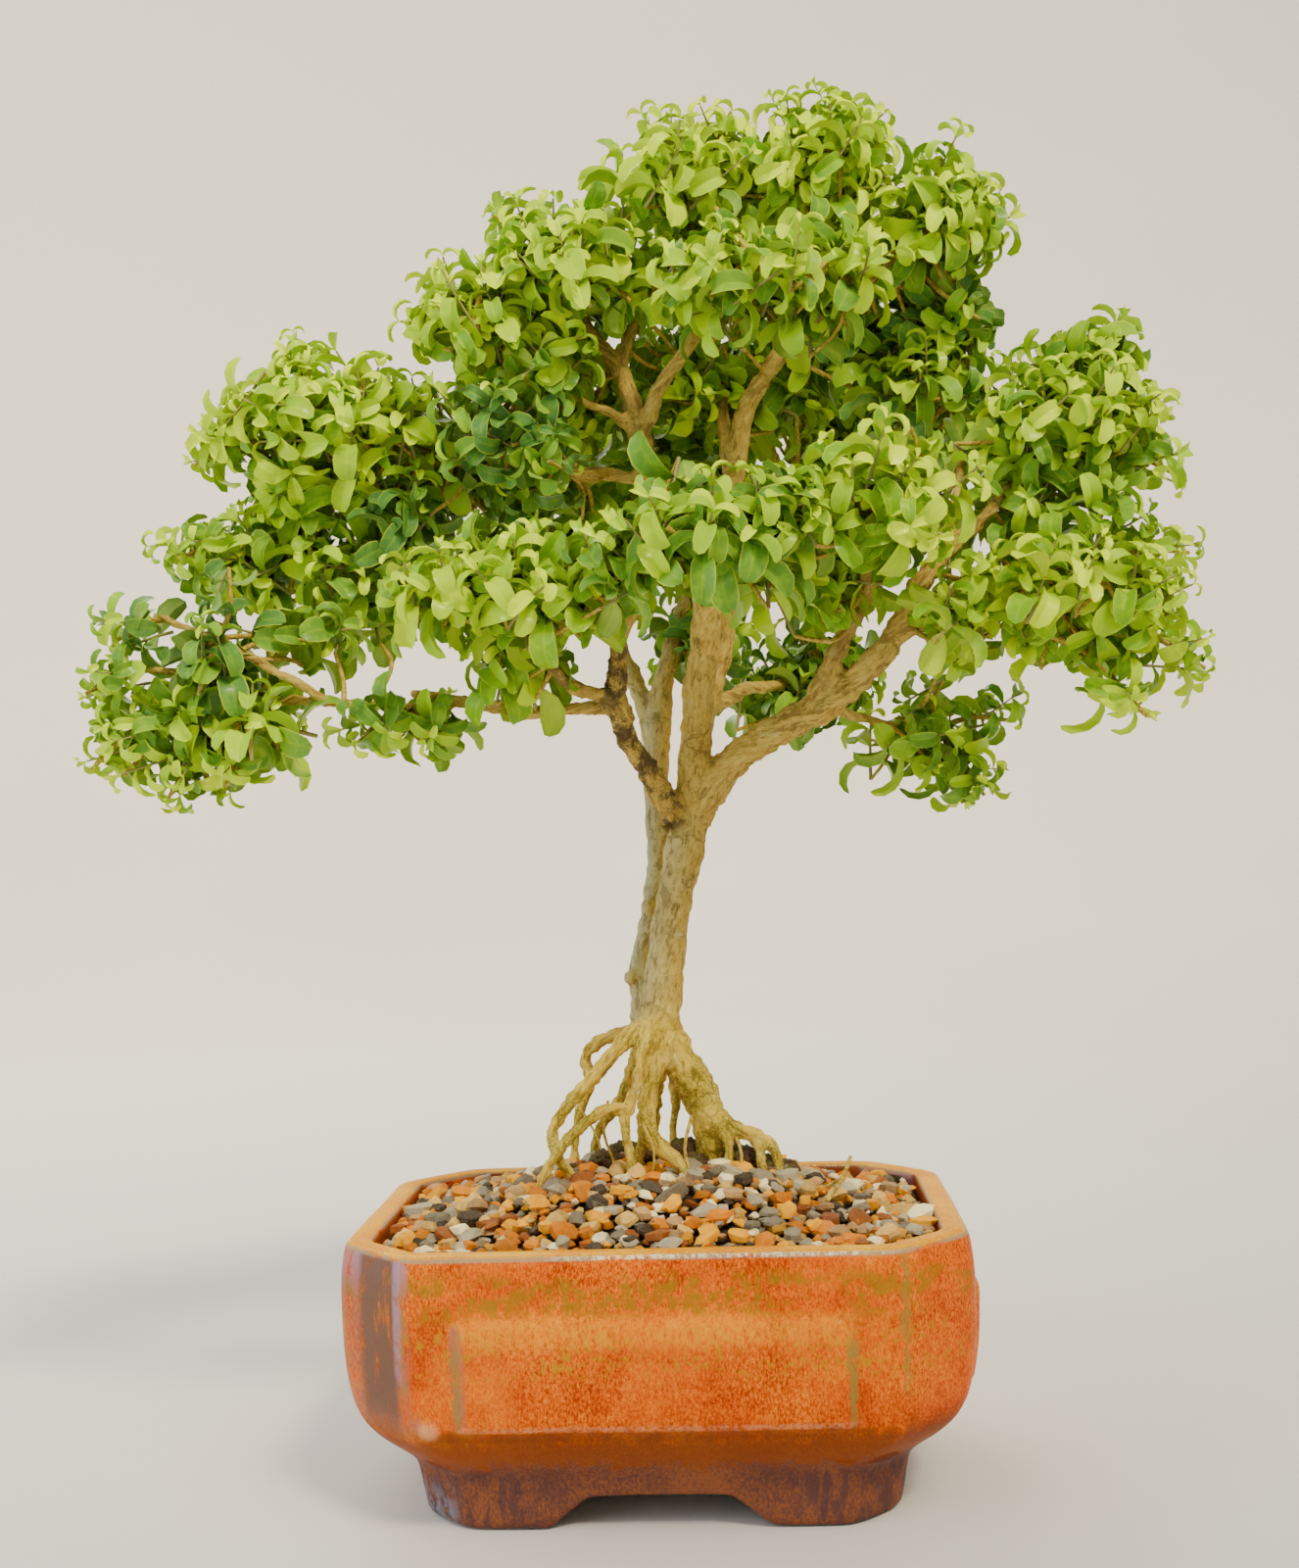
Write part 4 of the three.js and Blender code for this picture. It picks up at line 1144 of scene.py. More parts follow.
# %% The limbs' rows
stems = {
    "mainTrunk": [
        (-0.5, 10, 109, 6.2), (1.8, 9, 125, 5.6), (4.1, 8, 138.5, 5.1), (6.7, 8, 153, 5.1),
        (9.3, 9, 164, 5.7), (11, 9.5, 174, 5),
    ],
    "backTrunk": [
        (-2.8, 14, 113, 4.6), (-4, 16, 127, 3.6), (-2, 17, 140.5, 3), (0.8, 18, 154, 3.1),
        (1.5, 20, 167.5, 3.3), (1.5, 22, 184, 3.6), (2, 24, 198, 4),
    ],
    "backForkRight": [
        (2, 24, 194, 3.8), (4, 30, 211, 3), (7, 35, 222, 2.6), (10, 42, 235.5, 2.2), (11, 52, 252.5, 1.9),
        (9.5, 64, 272, 1.5),
    ],
    "backForkLeft": [
        (1.5, 24, 193, 3.6), (-3, 34, 207.5, 2.8), (-10, 46, 222, 2.2), (-19, 57, 237.5, 1.8),
        (-32, 64, 252, 1.4),
    ],
    "frontLeft": [
        (8.5, 8, 170, 4), (1, -4, 183, 2.9), (-4, -12, 192, 2.7), (-6, -18, 199.5, 3),
        (-5.5, -24, 208, 2.7), (-5, -30, 219, 2.3), (-8, -35, 227, 1.9), (-13, -39, 231, 1.6),
        (-23, -44, 229, 1.3),
    ],
    "frontCentre": [
        (-5, -28, 215.5, 2.1), (0, -36, 223.5, 1.8), (4.5, -44, 228.5, 1.6), (12.5, -53, 236, 1.3),
    ],
    "longLeft": [
        (-6, -18, 200, 2), (-18.5, -20, 200.5, 1.8), (-29, -20, 199.5, 1.7), (-43, -18, 203, 1.6),
        (-57.5, -16, 202, 1.5), (-76, -13, 204, 1.4), (-92.5, -10, 205.5, 1.3), (-110, -8, 206, 1.1),
    ],
    "longLeftSpur": [(-46, -18, 203, 1.5), (-52, -21, 204.5, 1.3), (-58, -27, 205, 1.1)],
    "longLeftRise": [
        (-82, -12, 204.5, 1.4), (-97, -17, 214, 1.3), (-111, -17, 222, 1.2), (-127, -14, 229, 1),
    ],
    "leftStub": [(-6, -19, 200.5, 2), (-13, -26, 204, 1.9), (-19.5, -34, 207.5, 1.7), (-26, -43, 218, 1.3)],
    "centre": [
        (11, 9, 168, 5), (13, 3, 190, 4.4), (14.5, -1, 204, 4.2), (16, -4, 215, 4), (17.5, -6, 228, 3.8),
        (14, -6, 242.5, 3.6), (8.5, -4, 253.5, 3.5), (4, -2, 261.5, 3.4), (0.5, 0, 276, 3.2),
    ],
    "centreLeft": [
        (0.5, 0, 273, 3.1), (-1.5, 0, 284.5, 2.7), (-5, 1, 294, 2.4), (-11, 0, 301, 2),
        (-15.5, -4, 311, 1.5),
    ],
    "centreLeftTop": [(-4.5, 1, 291, 2), (-0.5, 4, 304, 1.8), (7, 5, 317.5, 1.5), (15, 4, 336, 1.2)],
    "centreRight": [
        (1, 0, 274, 2.6), (7, -6, 285.5, 2), (14, -12, 293.5, 1.8), (21.5, -20, 301, 1.5),
        (33, -29, 307, 1.2),
    ],
    "centreLowLeft": [
        (0, 0, 275, 1.9), (-7.5, -4, 280, 1.5), (-16, -6, 284, 1.3), (-30.5, -6, 293.5, 1.2),
        (-42, -6, 302, 1),
    ],
    "rightStem": [
        (14, 2, 192, 3.3), (20, 10, 212.5, 2.9), (23, 13, 228.5, 2.8), (24.5, 15, 245, 2.8),
        (25, 16, 260, 2.9), (26.5, 16, 273, 3.2),
    ],
    "rightStemBack": [
        (25, 16, 266, 2.4), (23.5, 20, 281.5, 1.9), (25.5, 26, 299, 1.7), (37, 32, 320, 1.4),
        (46, 36, 334, 1.1),
    ],
    "rightStemTop": [
        (26.5, 16, 269, 3), (30, 13, 283.5, 2.7), (36, 9, 293, 2.2), (42.5, 6, 304, 1.9),
        (49.5, 2, 321.5, 1.5), (52.5, -1, 340, 1.2),
    ],
    "rightStemSide": [(35, 10, 291, 2), (45.5, 7, 300.5, 1.7), (59, 4, 309.5, 1.5), (74, 2, 323, 1.2)],
    "rightBough": [
        (11.5, 9, 171, 5), (19.5, 3, 182.6, 4.5), (29, -3, 190, 4.1), (39, -9, 195.6, 4.1),
        (48.5, -14, 200, 3.9), (57, -18, 207, 3.5), (63.5, -21, 213.5, 3.2), (69.5, -23, 225, 2.8),
        (78, -22, 236, 2.3), (89, -17, 246, 1.8), (105, -7, 263, 1.4),
    ],
    "rightBoughUp": [
        (43, -11, 198, 2.8), (47, -16, 205, 2.6), (52, -22, 215, 2.4), (57, -30, 225.5, 2.2),
        (58.5, -37, 233, 1.9), (58, -44, 243, 1.5),
    ],
    "rightBoughLow": [
        (64, -21, 215, 2.3), (76.5, -25, 220, 1.8), (88.5, -26, 221.5, 1.5), (103, -26, 225, 1.2),
    ],
    "rightBoughRise": [(78, -22, 236, 1.9), (84, -8, 255, 1.5), (86, 6, 272, 1.4), (85, 15, 290, 1.1)],
    "rightTwig": [(47, -12, 199.5, 1.9), (58, 2, 196.5, 1.4), (67.5, 9, 194, 1.2), (74.5, 14, 191.5, 1)],
    "backRight": [(16, 4, 200, 2.6), (27, 28, 207, 2), (36, 46, 209, 1.7), (43, 62, 212, 1.3)],
    "backTop": [(16.5, -3, 220, 2.8), (17.5, 20, 238, 2.2), (15, 44, 258.5, 1.8), (9.5, 66, 279, 1.4)],
    "backRightHigh": [(24, 15, 243, 2.3), (34, 34, 258.5, 1.9), (49, 50, 272.5, 1.6), (63, 62, 286, 1.3)],
    "leftHigh": [
        (5, -2, 259.5, 2.3), (-8.5, 4, 265, 1.8), (-27.5, 8, 267, 1.6), (-49, 9, 270.5, 1.4),
        (-67, 9, 277, 1.2), (-83, 8, 284, 1),
    ],
    "leftMid": [(-17, 55, 235.5, 1.8), (-41.5, 50, 243, 1.4), (-65.5, 38, 246.5, 1.3), (-96, 21, 249, 1.1)],
}
roots = {
    "left": [
        (-1, 9, 115, 3.2), (-8, 4, 112.5, 2.4), (-13.5, -1, 106.5, 2.1), (-20.5, -5, 99.5, 1.9),
        (-26, -7, 93, 1.7), (-27.5, -8, 88.5, 1.6), (-25.5, -7, 82.5, 1.6), (-22.5, -6, 77, 1.5),
        (-21.5, -6, 70.5, 1.3),
    ],
    "leftBack": [
        (-3.5, 14, 114, 3), (-11, 18, 111.5, 2.1), (-17.5, 20, 109.5, 1.8), (-20.5, 21, 104.5, 1.7),
        (-19.5, 20, 99, 1.6), (-22, 18, 93, 1.6), (-23.5, 16, 86.5, 1.5), (-24, 14, 79.5, 1.4),
        (-24, 13, 70.5, 1.2),
    ],
    "fork": [
        (-6, -3, 95, 1.7), (-13.5, -7, 95.5, 1.6), (-19, -9, 92, 1.5), (-23.5, -10, 88, 1.5),
        (-27.5, -11, 82.5, 1.4), (-31, -11, 76, 1.3), (-32, -11, 70.5, 1.2),
    ],
    "front": [
        (-1.5, 6, 116, 2.8), (-4, 0, 109, 1.8), (-5, -2, 103, 1.6), (-6.5, -4, 97.5, 1.6),
        (-8.5, -5, 93, 1.6), (-8.5, -5, 87.5, 1.5), (-7, -5, 80.5, 1.4), (-6.5, -5, 71, 1.2),
    ],
    "middle": [
        (0.5, 8, 112, 4.4), (-1, 5, 104.5, 3.2), (-2.5, 3, 97, 2.7), (-3, 1, 90, 2.5), (0, -1, 85, 2.2),
        (5.5, -3, 80, 1.9), (10, -4, 74, 1.6), (12, -4, 70, 1.5),
    ],
    "middleDrop": [(-3, 2.5, 92, 2.1), (-4.5, 3, 85, 1.6), (-5.5, 3, 77.5, 1.5), (-6, 3, 69.5, 1.3)],
    "right": [
        (1, 10, 114, 5.8), (5, 9, 107, 5.2), (10, 9, 99, 5), (13, 8, 91.5, 4.8), (14, 8, 85, 4.4),
        (14, 8, 77, 3.9), (14, 8, 70.5, 3.5),
    ],
    "rightArm": [
        (13, 7, 93, 3.8), (18.5, 3, 88.5, 2.6), (23.5, 1, 87, 2.1), (29, 0, 85, 1.8), (31.5, 0, 80.5, 1.5),
        (32, 0, 71, 1.3),
    ],
    "rightDropFirst": [(17, 3.5, 90, 1.8), (18.5, 1, 83.5, 1.4), (19.5, 0, 71, 1.2)],
    "rightDropSecond": [(25.5, 1, 86.5, 1.6), (27, -1, 81.5, 1.3), (27.5, -2, 71, 1.1)],
    "thinBack": [(4.5, 12, 102, 2), (4, 14, 92.5, 1.3), (3, 14.5, 85.5, 1.2), (2, 15, 71, 1.1)],
    "backLeft": [
        (-3, 17, 112, 3.2), (-8, 26, 101.5, 2.2), (-12.5, 31, 91.5, 1.8), (-18.5, 33, 83, 1.5),
        (-21, 33, 71, 1.3),
    ],
    "backRight": [
        (2.5, 15, 110, 3.6), (8.5, 26, 100, 2.6), (13.5, 32, 90.5, 2.2), (17.5, 36, 81.5, 1.7),
        (19, 37, 71, 1.4),
    ],
    "backMid": [(-1, 16, 110, 3.2), (-1.5, 29, 98, 2.3), (-3, 36, 87.5, 1.9), (-3.5, 39, 71, 1.5)],
}
root_tip_height = 62
print(len(stems), "stems and boughs,", len(roots), "roots")

# %% [markdown]
# A row is only a handful of points, so each limb is first drawn finer, with a smooth curve through its
# points and a slight wander, as wood has. Blender's noise starts from the clock unless it is given a
# seed, so it gets one. A curve with a round bevel and a radius at every point then makes the tube.

# %% Draw the limbs
limb_step = 1.5
wander = 0.35
wander_seed = 5


def finer(points, step):
    """Points every few steps along a smooth curve through the given ones, radius included."""
    rows = [Vector(point) for point in points]
    rows = [2 * rows[0] - rows[1], *rows, 2 * rows[-1] - rows[-2]]
    fine = []
    for before, start, end, after in zip(rows, rows[1:], rows[2:], rows[3:]):
        count = max(1, round((end - start).xyz.length / step))
        for index in range(count):
            t = index / count
            bend = (2 * before - 5 * start + 4 * end - after) * t * t
            twist = (3 * start - before - 3 * end + after) * t * t * t
            fine.append((2 * start + (end - before) * t + bend + twist) / 2)
    fine.append(rows[-2])
    return fine


def wandering(points, seed):
    """Moves the inner points of a limb a little, and swells it here and there."""
    moved = []
    for index, point in enumerate(points):
        ease = min(1, index / 4, (len(points) - 1 - index) / 4)
        spot = point.xyz * 0.13 + Vector((seed * 3.7, 0, 0))
        shift = noise.noise_vector(spot) * wander * ease * (1 + 2 / point.w)
        swell = 1 + 0.13 * noise.noise(point.xyz * 0.4 + Vector((0, seed, 0)))
        moved.append(Vector((*(point.xyz + shift), point.w * swell)))
    return moved


def tubes(name, rows, sides_level=0):
    """One mesh of round tubes along rows of fine points."""
    curve = bpy.data.curves.new(name, "CURVE")
    curve.dimensions = "3D"
    curve.bevel_depth = 1
    curve.bevel_resolution = sides_level
    curve.use_fill_caps = True
    for points in rows:
        spline = curve.splines.new("POLY")
        spline.points.add(len(points) - 1)
        for target, point in zip(spline.points, points):
            target.co = (*point.xyz, 1)
            target.radius = point.w
    piece = bpy.data.objects.new(name, curve)
    bpy.context.collection.objects.link(piece)
    only(piece)
    bpy.ops.object.convert(target="MESH")
    return bpy.context.object


def sunk(points):
    x, y, z, radius = points[-1]
    return [*points, (x, y, root_tip_height, radius * 0.8)]


def all_limbs():
    rows = stems | {f"root_{name}": sunk(points) for name, points in roots.items()}
    return {
        name: wandering(finer(points, limb_step), index)
        for index, (name, points) in enumerate(rows.items())
    }


noise.seed_set(wander_seed)
limbs = all_limbs()
print(len(limbs), "limbs with", sum(len(points) for points in limbs.values()), "points")

# %% [markdown]
# Wood has no seams where a bough leaves the stem. The tubes could be joined by Booleans, but those leave
# sharp creases. Instead the tubes, and small balls for the knots, are joined by a voxel remesh, which
# grows them together, and smoothed so that the forks run into each other.

# %% Grow the wood together
wood_voxel = 0.84
round_sides_level = 4
# Each knot's place and radius.
knots = [
    ((-7.2, 13, 128), 2.1), ((-1.6, 14, 147.5), 2.0), ((4, 2.5, 168), 1.7), ((27, -4, 191), 1.9),
    ((12, 5, 183), 1.8), ((46, -13, 199), 2.0), ((-8, -19, 201), 2.0), ((-5, -26, 213), 1.8),
    ((33, -7, 194), 1.7), ((10, 4, 154), 1.3), ((8, 3, 140), 1.2), ((-24, -7, 95), 1.1),
    ((12.5, 4.6, 98), 1.5), ((14, 4.5, 92), 2.3), ((17.5, 3.6, 87.5), 2.2), ((24, 1, 86.5), 1.8),
    ((30.5, 0, 83.5), 1.8), ((-8.6, -5.6, 91), 1.6), ((-25.5, -7, 85.5), 1.5),
    ((-20.5, -5.5, 99.5), 1.6), ((3, 4.6, 106), 2.0), ((13.5, 4.2, 83), 2.0), ((9, 4.4, 99), 1.8),
    ((-28.5, -11, 80.5), 1.4), ((2, -2, 83), 1.9),
]


def grow_wood():
    wood = tubes("wood", limbs.values(), round_sides_level)
    lumps = []
    for place, radius in knots:
        bpy.ops.mesh.primitive_ico_sphere_add(subdivisions=2, radius=radius, location=place)
        settle()
        lumps.append(bpy.context.object)
    wood = join([wood, *lumps], "wood")
    modify(wood, "REMESH", mode="VOXEL", voxel_size=wood_voxel)
    modify(wood, "SMOOTH", factor=0.5, iterations=3)
    return wood


wood = grow_wood()
print("wood:", count_triangles(wood), "triangles")

# %% [markdown]
# Bark is not one finish all over. It is worked out for each vertex from the limbs around it: how far along,
# how thick, and which ones. The bark's ridges are pushed in and out along the nearest limb and fade where
# two limbs meet, and the roughest boughs get scabs as well. Four numbers are kept for the material: moss on
# the roots, dark rough bark, most of all on the front left branch, grey on the left side of the stems,
# partly the bark's own grey and partly painted cool light, and how surely one limb leads.

# %% The bark's relief and tones
ridge_depth = 0.42
lump_depth = 0.5
scab_depth = 0.7
root_knobs = 0.7
grain_stretch = 0.36
limb_neighbours = 10
rough_limbs = {"rightBough": 1.3, "longLeft": 1.1, "rightBoughUp": 1.5}
dark_limbs = {"frontLeft": 1.0, "leftStub": 0.8, "rightBoughUp": 0.55, "centreLeft": 0.5, "centre": 0.25}
grey_and_cool_lit_limbs = {"backTrunk": 0.9, "mainTrunk": 0.5, "backForkRight": 0.4, "backForkLeft": 0.4}


def limb_lookup():
    places = [(name, index, point) for name, points in limbs.items() for index, point in enumerate(points)]
    tree = kdtree.KDTree(len(places))
    for number, (name, index, point) in enumerate(places):
        tree.insert(point.xyz, number)
    tree.balance()
    return tree, places


def blended_tones(near, places):
    """How dark and how grey the bark is here, weighed over the limbs around, and how surely one leads."""
    gaps = {}
    for place, number, distance in near:
        name, index, point = places[number]
        gaps[name] = min(gaps.get(name, 99), max(0, distance - point.w))
    weights = {name: 1 / (0.4 + gap) ** 2 for name, gap in gaps.items()}
    whole = sum(weights.values())
    dark = sum(weight * dark_limbs.get(name, 0.15) for name, weight in weights.items()) / whole
    grey = sum(weight * grey_and_cool_lit_limbs.get(name, 0.0) for name, weight in weights.items()) / whole
    return max(0.0, 2 * max(weights.values()) / whole - 1), dark, grey


def write_tones(mesh, name, tones):
    """A new colour attribute, with one tone for each vertex."""
    layer = mesh.attributes.new(name, "FLOAT_COLOR", "POINT")
    layer.data.foreach_set("color", [value for tone in tones for value in tone])


def keep_grain(mesh, grains):
    layer = mesh.attributes.new("grain", "FLOAT_VECTOR", "POINT")
    layer.data.foreach_set("vector", [value for grain in grains for value in grain])


def work_bark(wood):
    tree, places = limb_lookup()
    mesh = wood.data
    tones = []
    grains = []
    pushed = []
    for vertex in mesh.vertices:
        near = tree.find_n(vertex.co, limb_neighbours)
        name, index, point = places[near[0][1]]
        sure, dark, grey = blended_tones(near, places)
        points = limbs[name]
        along = (points[min(index + 1, len(points) - 1)].xyz - points[max(index - 1, 0)].xyz).normalized()
        out = vertex.co - point.xyz
        run = index * limb_step + out.dot(along)
        own_spot = Vector((len(name) * 7, 0, 0))
        grain = out - along * out.dot(along) + Vector((0, 0, run * grain_stretch)) + own_spot
        ridge = noise.noise(grain * 0.8) + 0.6 * noise.noise(grain * 1.9)
        rough = 0.8 if name.startswith("root_") else rough_limbs.get(name, 0.6 + dark * 0.8)
        knob = noise.noise(vertex.co * 0.55) * root_knobs if name.startswith("root_") else 0
        scab = noise.noise(vertex.co * 0.7) * scab_depth if rough > 1 else 0
        lump = noise.noise(vertex.co * 0.3) * lump_depth + scab
        push = (ridge * ridge_depth * rough * sure + lump + knob) * min(1, point.w / 2.2)
        pushed.extend(vertex.co + vertex.normal * push)
        low = max(0.0, min(1.0, (128 - vertex.co.z) / 26))
        moss = low * (0.6 + 0.8 * noise.noise(vertex.co * 0.11) + 0.18 * (vertex.co.x > 4))
        # Painted cool light: the grey shows on the side of the stems that faces left.
        left = max(0.0, min(1.0, 0.5 - vertex.normal.x * 0.8))
        tones.append((moss, dark, grey * left * (1 - low * 0.6), sure))
        grains.append(grain)
    mesh.vertices.foreach_set("co", pushed)
    mesh.update()
    write_tones(mesh, "bark", tones)
    keep_grain(mesh, grains)


work_bark(wood)
print("bark worked on", len(wood.data.vertices), "vertices")

# %% [markdown]
# The bark is pale tan with darker cracks, ash grey with painted cool light on the left side of the stems,
# and straw yellow with some moss on the roots. A painted picture would need a flat layout of all the wood.
# A pattern that runs along the grain, which each vertex remembers, needs none, and it has no seams at the
# forks.

# %% The bark's material
tan_tones = [
    (0.3, (0.2, 0.11, 0.018)), (0.41, (0.46, 0.29, 0.05)), (0.54, (0.74, 0.52, 0.1)),
    (0.7, (0.92, 0.72, 0.22)),
]
ash_and_cool_light_tones = [(0.3, (0.2, 0.21, 0.12)), (0.5, (0.46, 0.47, 0.27)), (0.7, (0.66, 0.66, 0.42))]
straw_tones = [(0.34, (0.32, 0.19, 0.015)), (0.48, (0.76, 0.53, 0.05)), (0.64, (0.98, 0.78, 0.17))]
crack_brown = (0.09, 0.05, 0.02)
rough_brown = (0.045, 0.027, 0.017)
furrow_brown = (0.13, 0.09, 0.012)
moss_green = (0.15, 0.15, 0.01)
flake_brown = (0.15, 0.075, 0.025)


def bark_material():
    material, tree, shader = new_material("bark")
    place = place_in_mm(tree)
    own = node(tree, "ShaderNodeAttribute", {"attribute_name": "bark"}, {}, "Color")
    split = node(tree, "ShaderNodeSeparateColor", {}, {0: own}).node
    moss, dark, grey = split.outputs
    grain = node(tree, "ShaderNodeAttribute", {"attribute_name": "grain"}, {}, "Vector")
    sure = own.node.outputs["Alpha"]
    coarse = cloud(tree, place, 0.8, 6.0, 0.72)
    fibre = laid_over(tree, sure, coarse, cloud(tree, grain, 0.95, 6.0, 0.72))
    blotch = cloud(tree, place, 0.16, 4.0, 0.6)
    fine = cloud(tree, place, 1.9, 4.0, 0.7)
    tone = plus(tree, both(tree, fibre, 0.55), both(tree, blotch, 0.45))
    colour = colours(tree, tone, tan_tones)
    # Grey bark with painted cool light on the left side of the stems.
    colour = tinted(tree, colour, colours(tree, tone, ash_and_cool_light_tones), 0.9, grey)
    crack = rise(tree, fibre, 0.45, 0.35)
    colour = tinted(tree, colour, crack_brown, 0.3, crack)
    scabby = plus(tree, blotch, both(tree, fine, 0.4))
    rough_dark = both(tree, dark, rise(tree, scabby, 0.6, 0.78))
    colour = tinted(tree, colour, rough_brown, 0.9, rough_dark)
    root_tone = rise(tree, moss, 0.1, 0.55)
    colour = tinted(tree, colour, colours(tree, tone, straw_tones), 0.75, root_tone)
    furrow = both(tree, rise(tree, fibre, 0.5, 0.38), root_tone)
    colour = tinted(tree, colour, furrow_brown, 0.6, furrow)
    green = both(tree, rise(tree, moss, 0.45, 0.8), rise(tree, fine, 0.4, 0.58))
    colour = tinted(tree, colour, moss_green, 0.7, green)
    roughness = shades(tree, fibre, 0.3, 0.9, 0.7, 0.66)
    flaky = cloud(tree, grain, 0.4, 6.0, 0.75)
    flake = both(tree, rise(tree, flaky, 0.55, 0.6), minus(tree, 1.0, root_tone))
    colour = tinted(tree, colour, flake_brown, 0.55, flake)
    height = plus(tree, fibre, both(tree, fine, 0.6))
    height = minus(tree, height, both(tree, flake, 0.25))
    wire(tree, shader, colour, roughness, bumps(tree, height, 0.5))
    gloss(shader, stone_and_bark_shine)
    return material


bark = bark_material()
only(wood)
bpy.ops.object.shade_smooth()
into_frame(wood, bark, "bark", "trunk")

# %% [markdown]
# ## The earth between the roots
# When the roots were bared, some dark earth stayed between them, with moss on top. It could be one
# surface, but loose lumps are closer: a few balls, flattened and made uneven by a displacement. They
# also close the gaps under the right root, as in the real tree.

# %% Clods of earth
clods = [
    ((22, 6, 79.5), 5.5), ((29, 4, 78), 4.5), ((16, 13, 81), 6), ((-15, 10, 79), 4.5), ((-24, 6, 77), 3.5),
    ((7, 12, 81), 5), ((-4, 14, 80.5), 5), ((9, 5, 79), 4), ((34, 5, 76.5), 3.5), ((-10, 18, 80), 4.5),
]
clod_flatness = 0.6
clod_unevenness = 3
crumb_size = 1.6
earth_tones = [(0.35, (0.02, 0.012, 0.006)), (0.5, (0.09, 0.05, 0.02)), (0.7, (0.24, 0.14, 0.06))]
earth_moss = (0.1, 0.12, 0.012)


def make_clods():
    lumps = []
    for place, size in clods:
        bpy.ops.mesh.primitive_ico_sphere_add(subdivisions=4, radius=size, location=place)
        lump = bpy.context.object
        lump.scale.z = clod_flatness
        settle()
        lumps.append(lump)
    piece = join(lumps, "root_earth")
    crumbs = bpy.data.textures.new("crumbs", "CLOUDS")
    crumbs.noise_scale = crumb_size
    unevenness = {"strength": clod_unevenness, "mid_level": 0.5, "texture_coords": "LOCAL"}
    modify(piece, "DISPLACE", texture=crumbs, **unevenness)
    only(piece)
    bpy.ops.object.shade_smooth()
    return piece


def earth_material():
    material, tree, shader = new_material("earth")
    place = place_in_mm(tree)
    crumbs = cloud(tree, place, 1.1, 6.0, 0.75)
    up = axes_of(tree, node(tree, "ShaderNodeNewGeometry", {}, {}, "Normal"))[2]
    colour = colours(tree, crumbs, earth_tones)
    moss = both(tree, rise(tree, up, 0.3, 0.8), rise(tree, cloud(tree, place, 0.3, 4.0), 0.46, 0.56))
    colour = tinted(tree, colour, earth_moss, 0.8, moss)
    wire(tree, shader, colour, rise(tree, crumbs, -0.6, 0.5), bumps(tree, crumbs, 0.6))
    return material


into_frame(make_clods(), earth_material(), "gravel")

# %% [markdown]
# ## One leaf
# A boxwood leaf is a small leathery blade, 8 to 14 mm long, folded on its midrib and curled back so far
# that its tip often points down. A flat sheet would look like paper from the side, so a leaf starts as
# a ball with its poles at base and tip. Each ring of the ball is resized to the leaf's width, the whole
# is flattened, the margins are lifted, which folds the blade, and the rings are rotated one after
# another, which curls it. The narrow curled leaves get four columns of faces and the broad one eight, so
# that its halves can bulge. Six leaves are enough.

# %% One leaf
leaf_length = 13.4
leaf_thickness = 0.34
bulge = 0.3
midrib_press = 0.15
rib_crease = math.radians(38)
# For each number of rings: where the rings lie along the blade, and the blade's width there.
blade_stations = {
    7: [0, 0.09, 0.24, 0.42, 0.6, 0.78, 0.93, 1],
    6: [0, 0.1, 0.3, 0.53, 0.75, 0.92, 1],
}
blade_widths = {
    7: [0.05, 0.26, 0.62, 0.92, 1.0, 0.9, 0.55, 0.12],
    6: [0.05, 0.28, 0.72, 1.0, 0.94, 0.6, 0.12],
}
leaf_shapes = [
    {"width": 5.2, "curl": 2.1, "fold": 1.7},
    {"width": 5.7, "curl": 2.6, "fold": 1.5},
    {"width": 5.0, "curl": 3.1, "fold": 1.5},
    {"width": 5.9, "curl": 2.3, "fold": 1.3},
    {"width": 6.1, "curl": 2.8, "fold": 1.0},
    {"width": 6.8, "curl": 2.0, "fold": 0.8, "columns": 8, "rings": 6},
]
young_shapes = 3


def choose_numbers(piece, numbers):
    wanted = set(numbers)
    mesh = bmesh.from_edit_mesh(piece.data)
    for vertex in mesh.verts:
        vertex.select_set(vertex.index in wanted)
    mesh.select_flush_mode()
    bmesh.update_edit_mesh(piece.data)


def ball_rows(ball, rings):
    """The ball's vertices by ring and by column, with the tone that each starts with."""
    rows = {}
    columns = {"edge": [], "half": [], "rib": []}
    tones = []
    for vertex in ball.data.vertices:
        ring = round(math.acos(max(-1, min(1, -vertex.co.x))) / math.pi * rings)
        rows.setdefault(ring, []).append(vertex.index)
        radius = math.sin(ring * math.pi / rings)
        out = abs(vertex.co.y) / radius if radius > 0.01 else 0.5
        columns["edge" if out > 0.9 else "half" if out > 0.3 else "rib"].append(vertex.index)
        tones.append((0.5, out, 1.0 if vertex.co.z < -0.01 else 0.0, 0.5))
    return rows, columns, tones


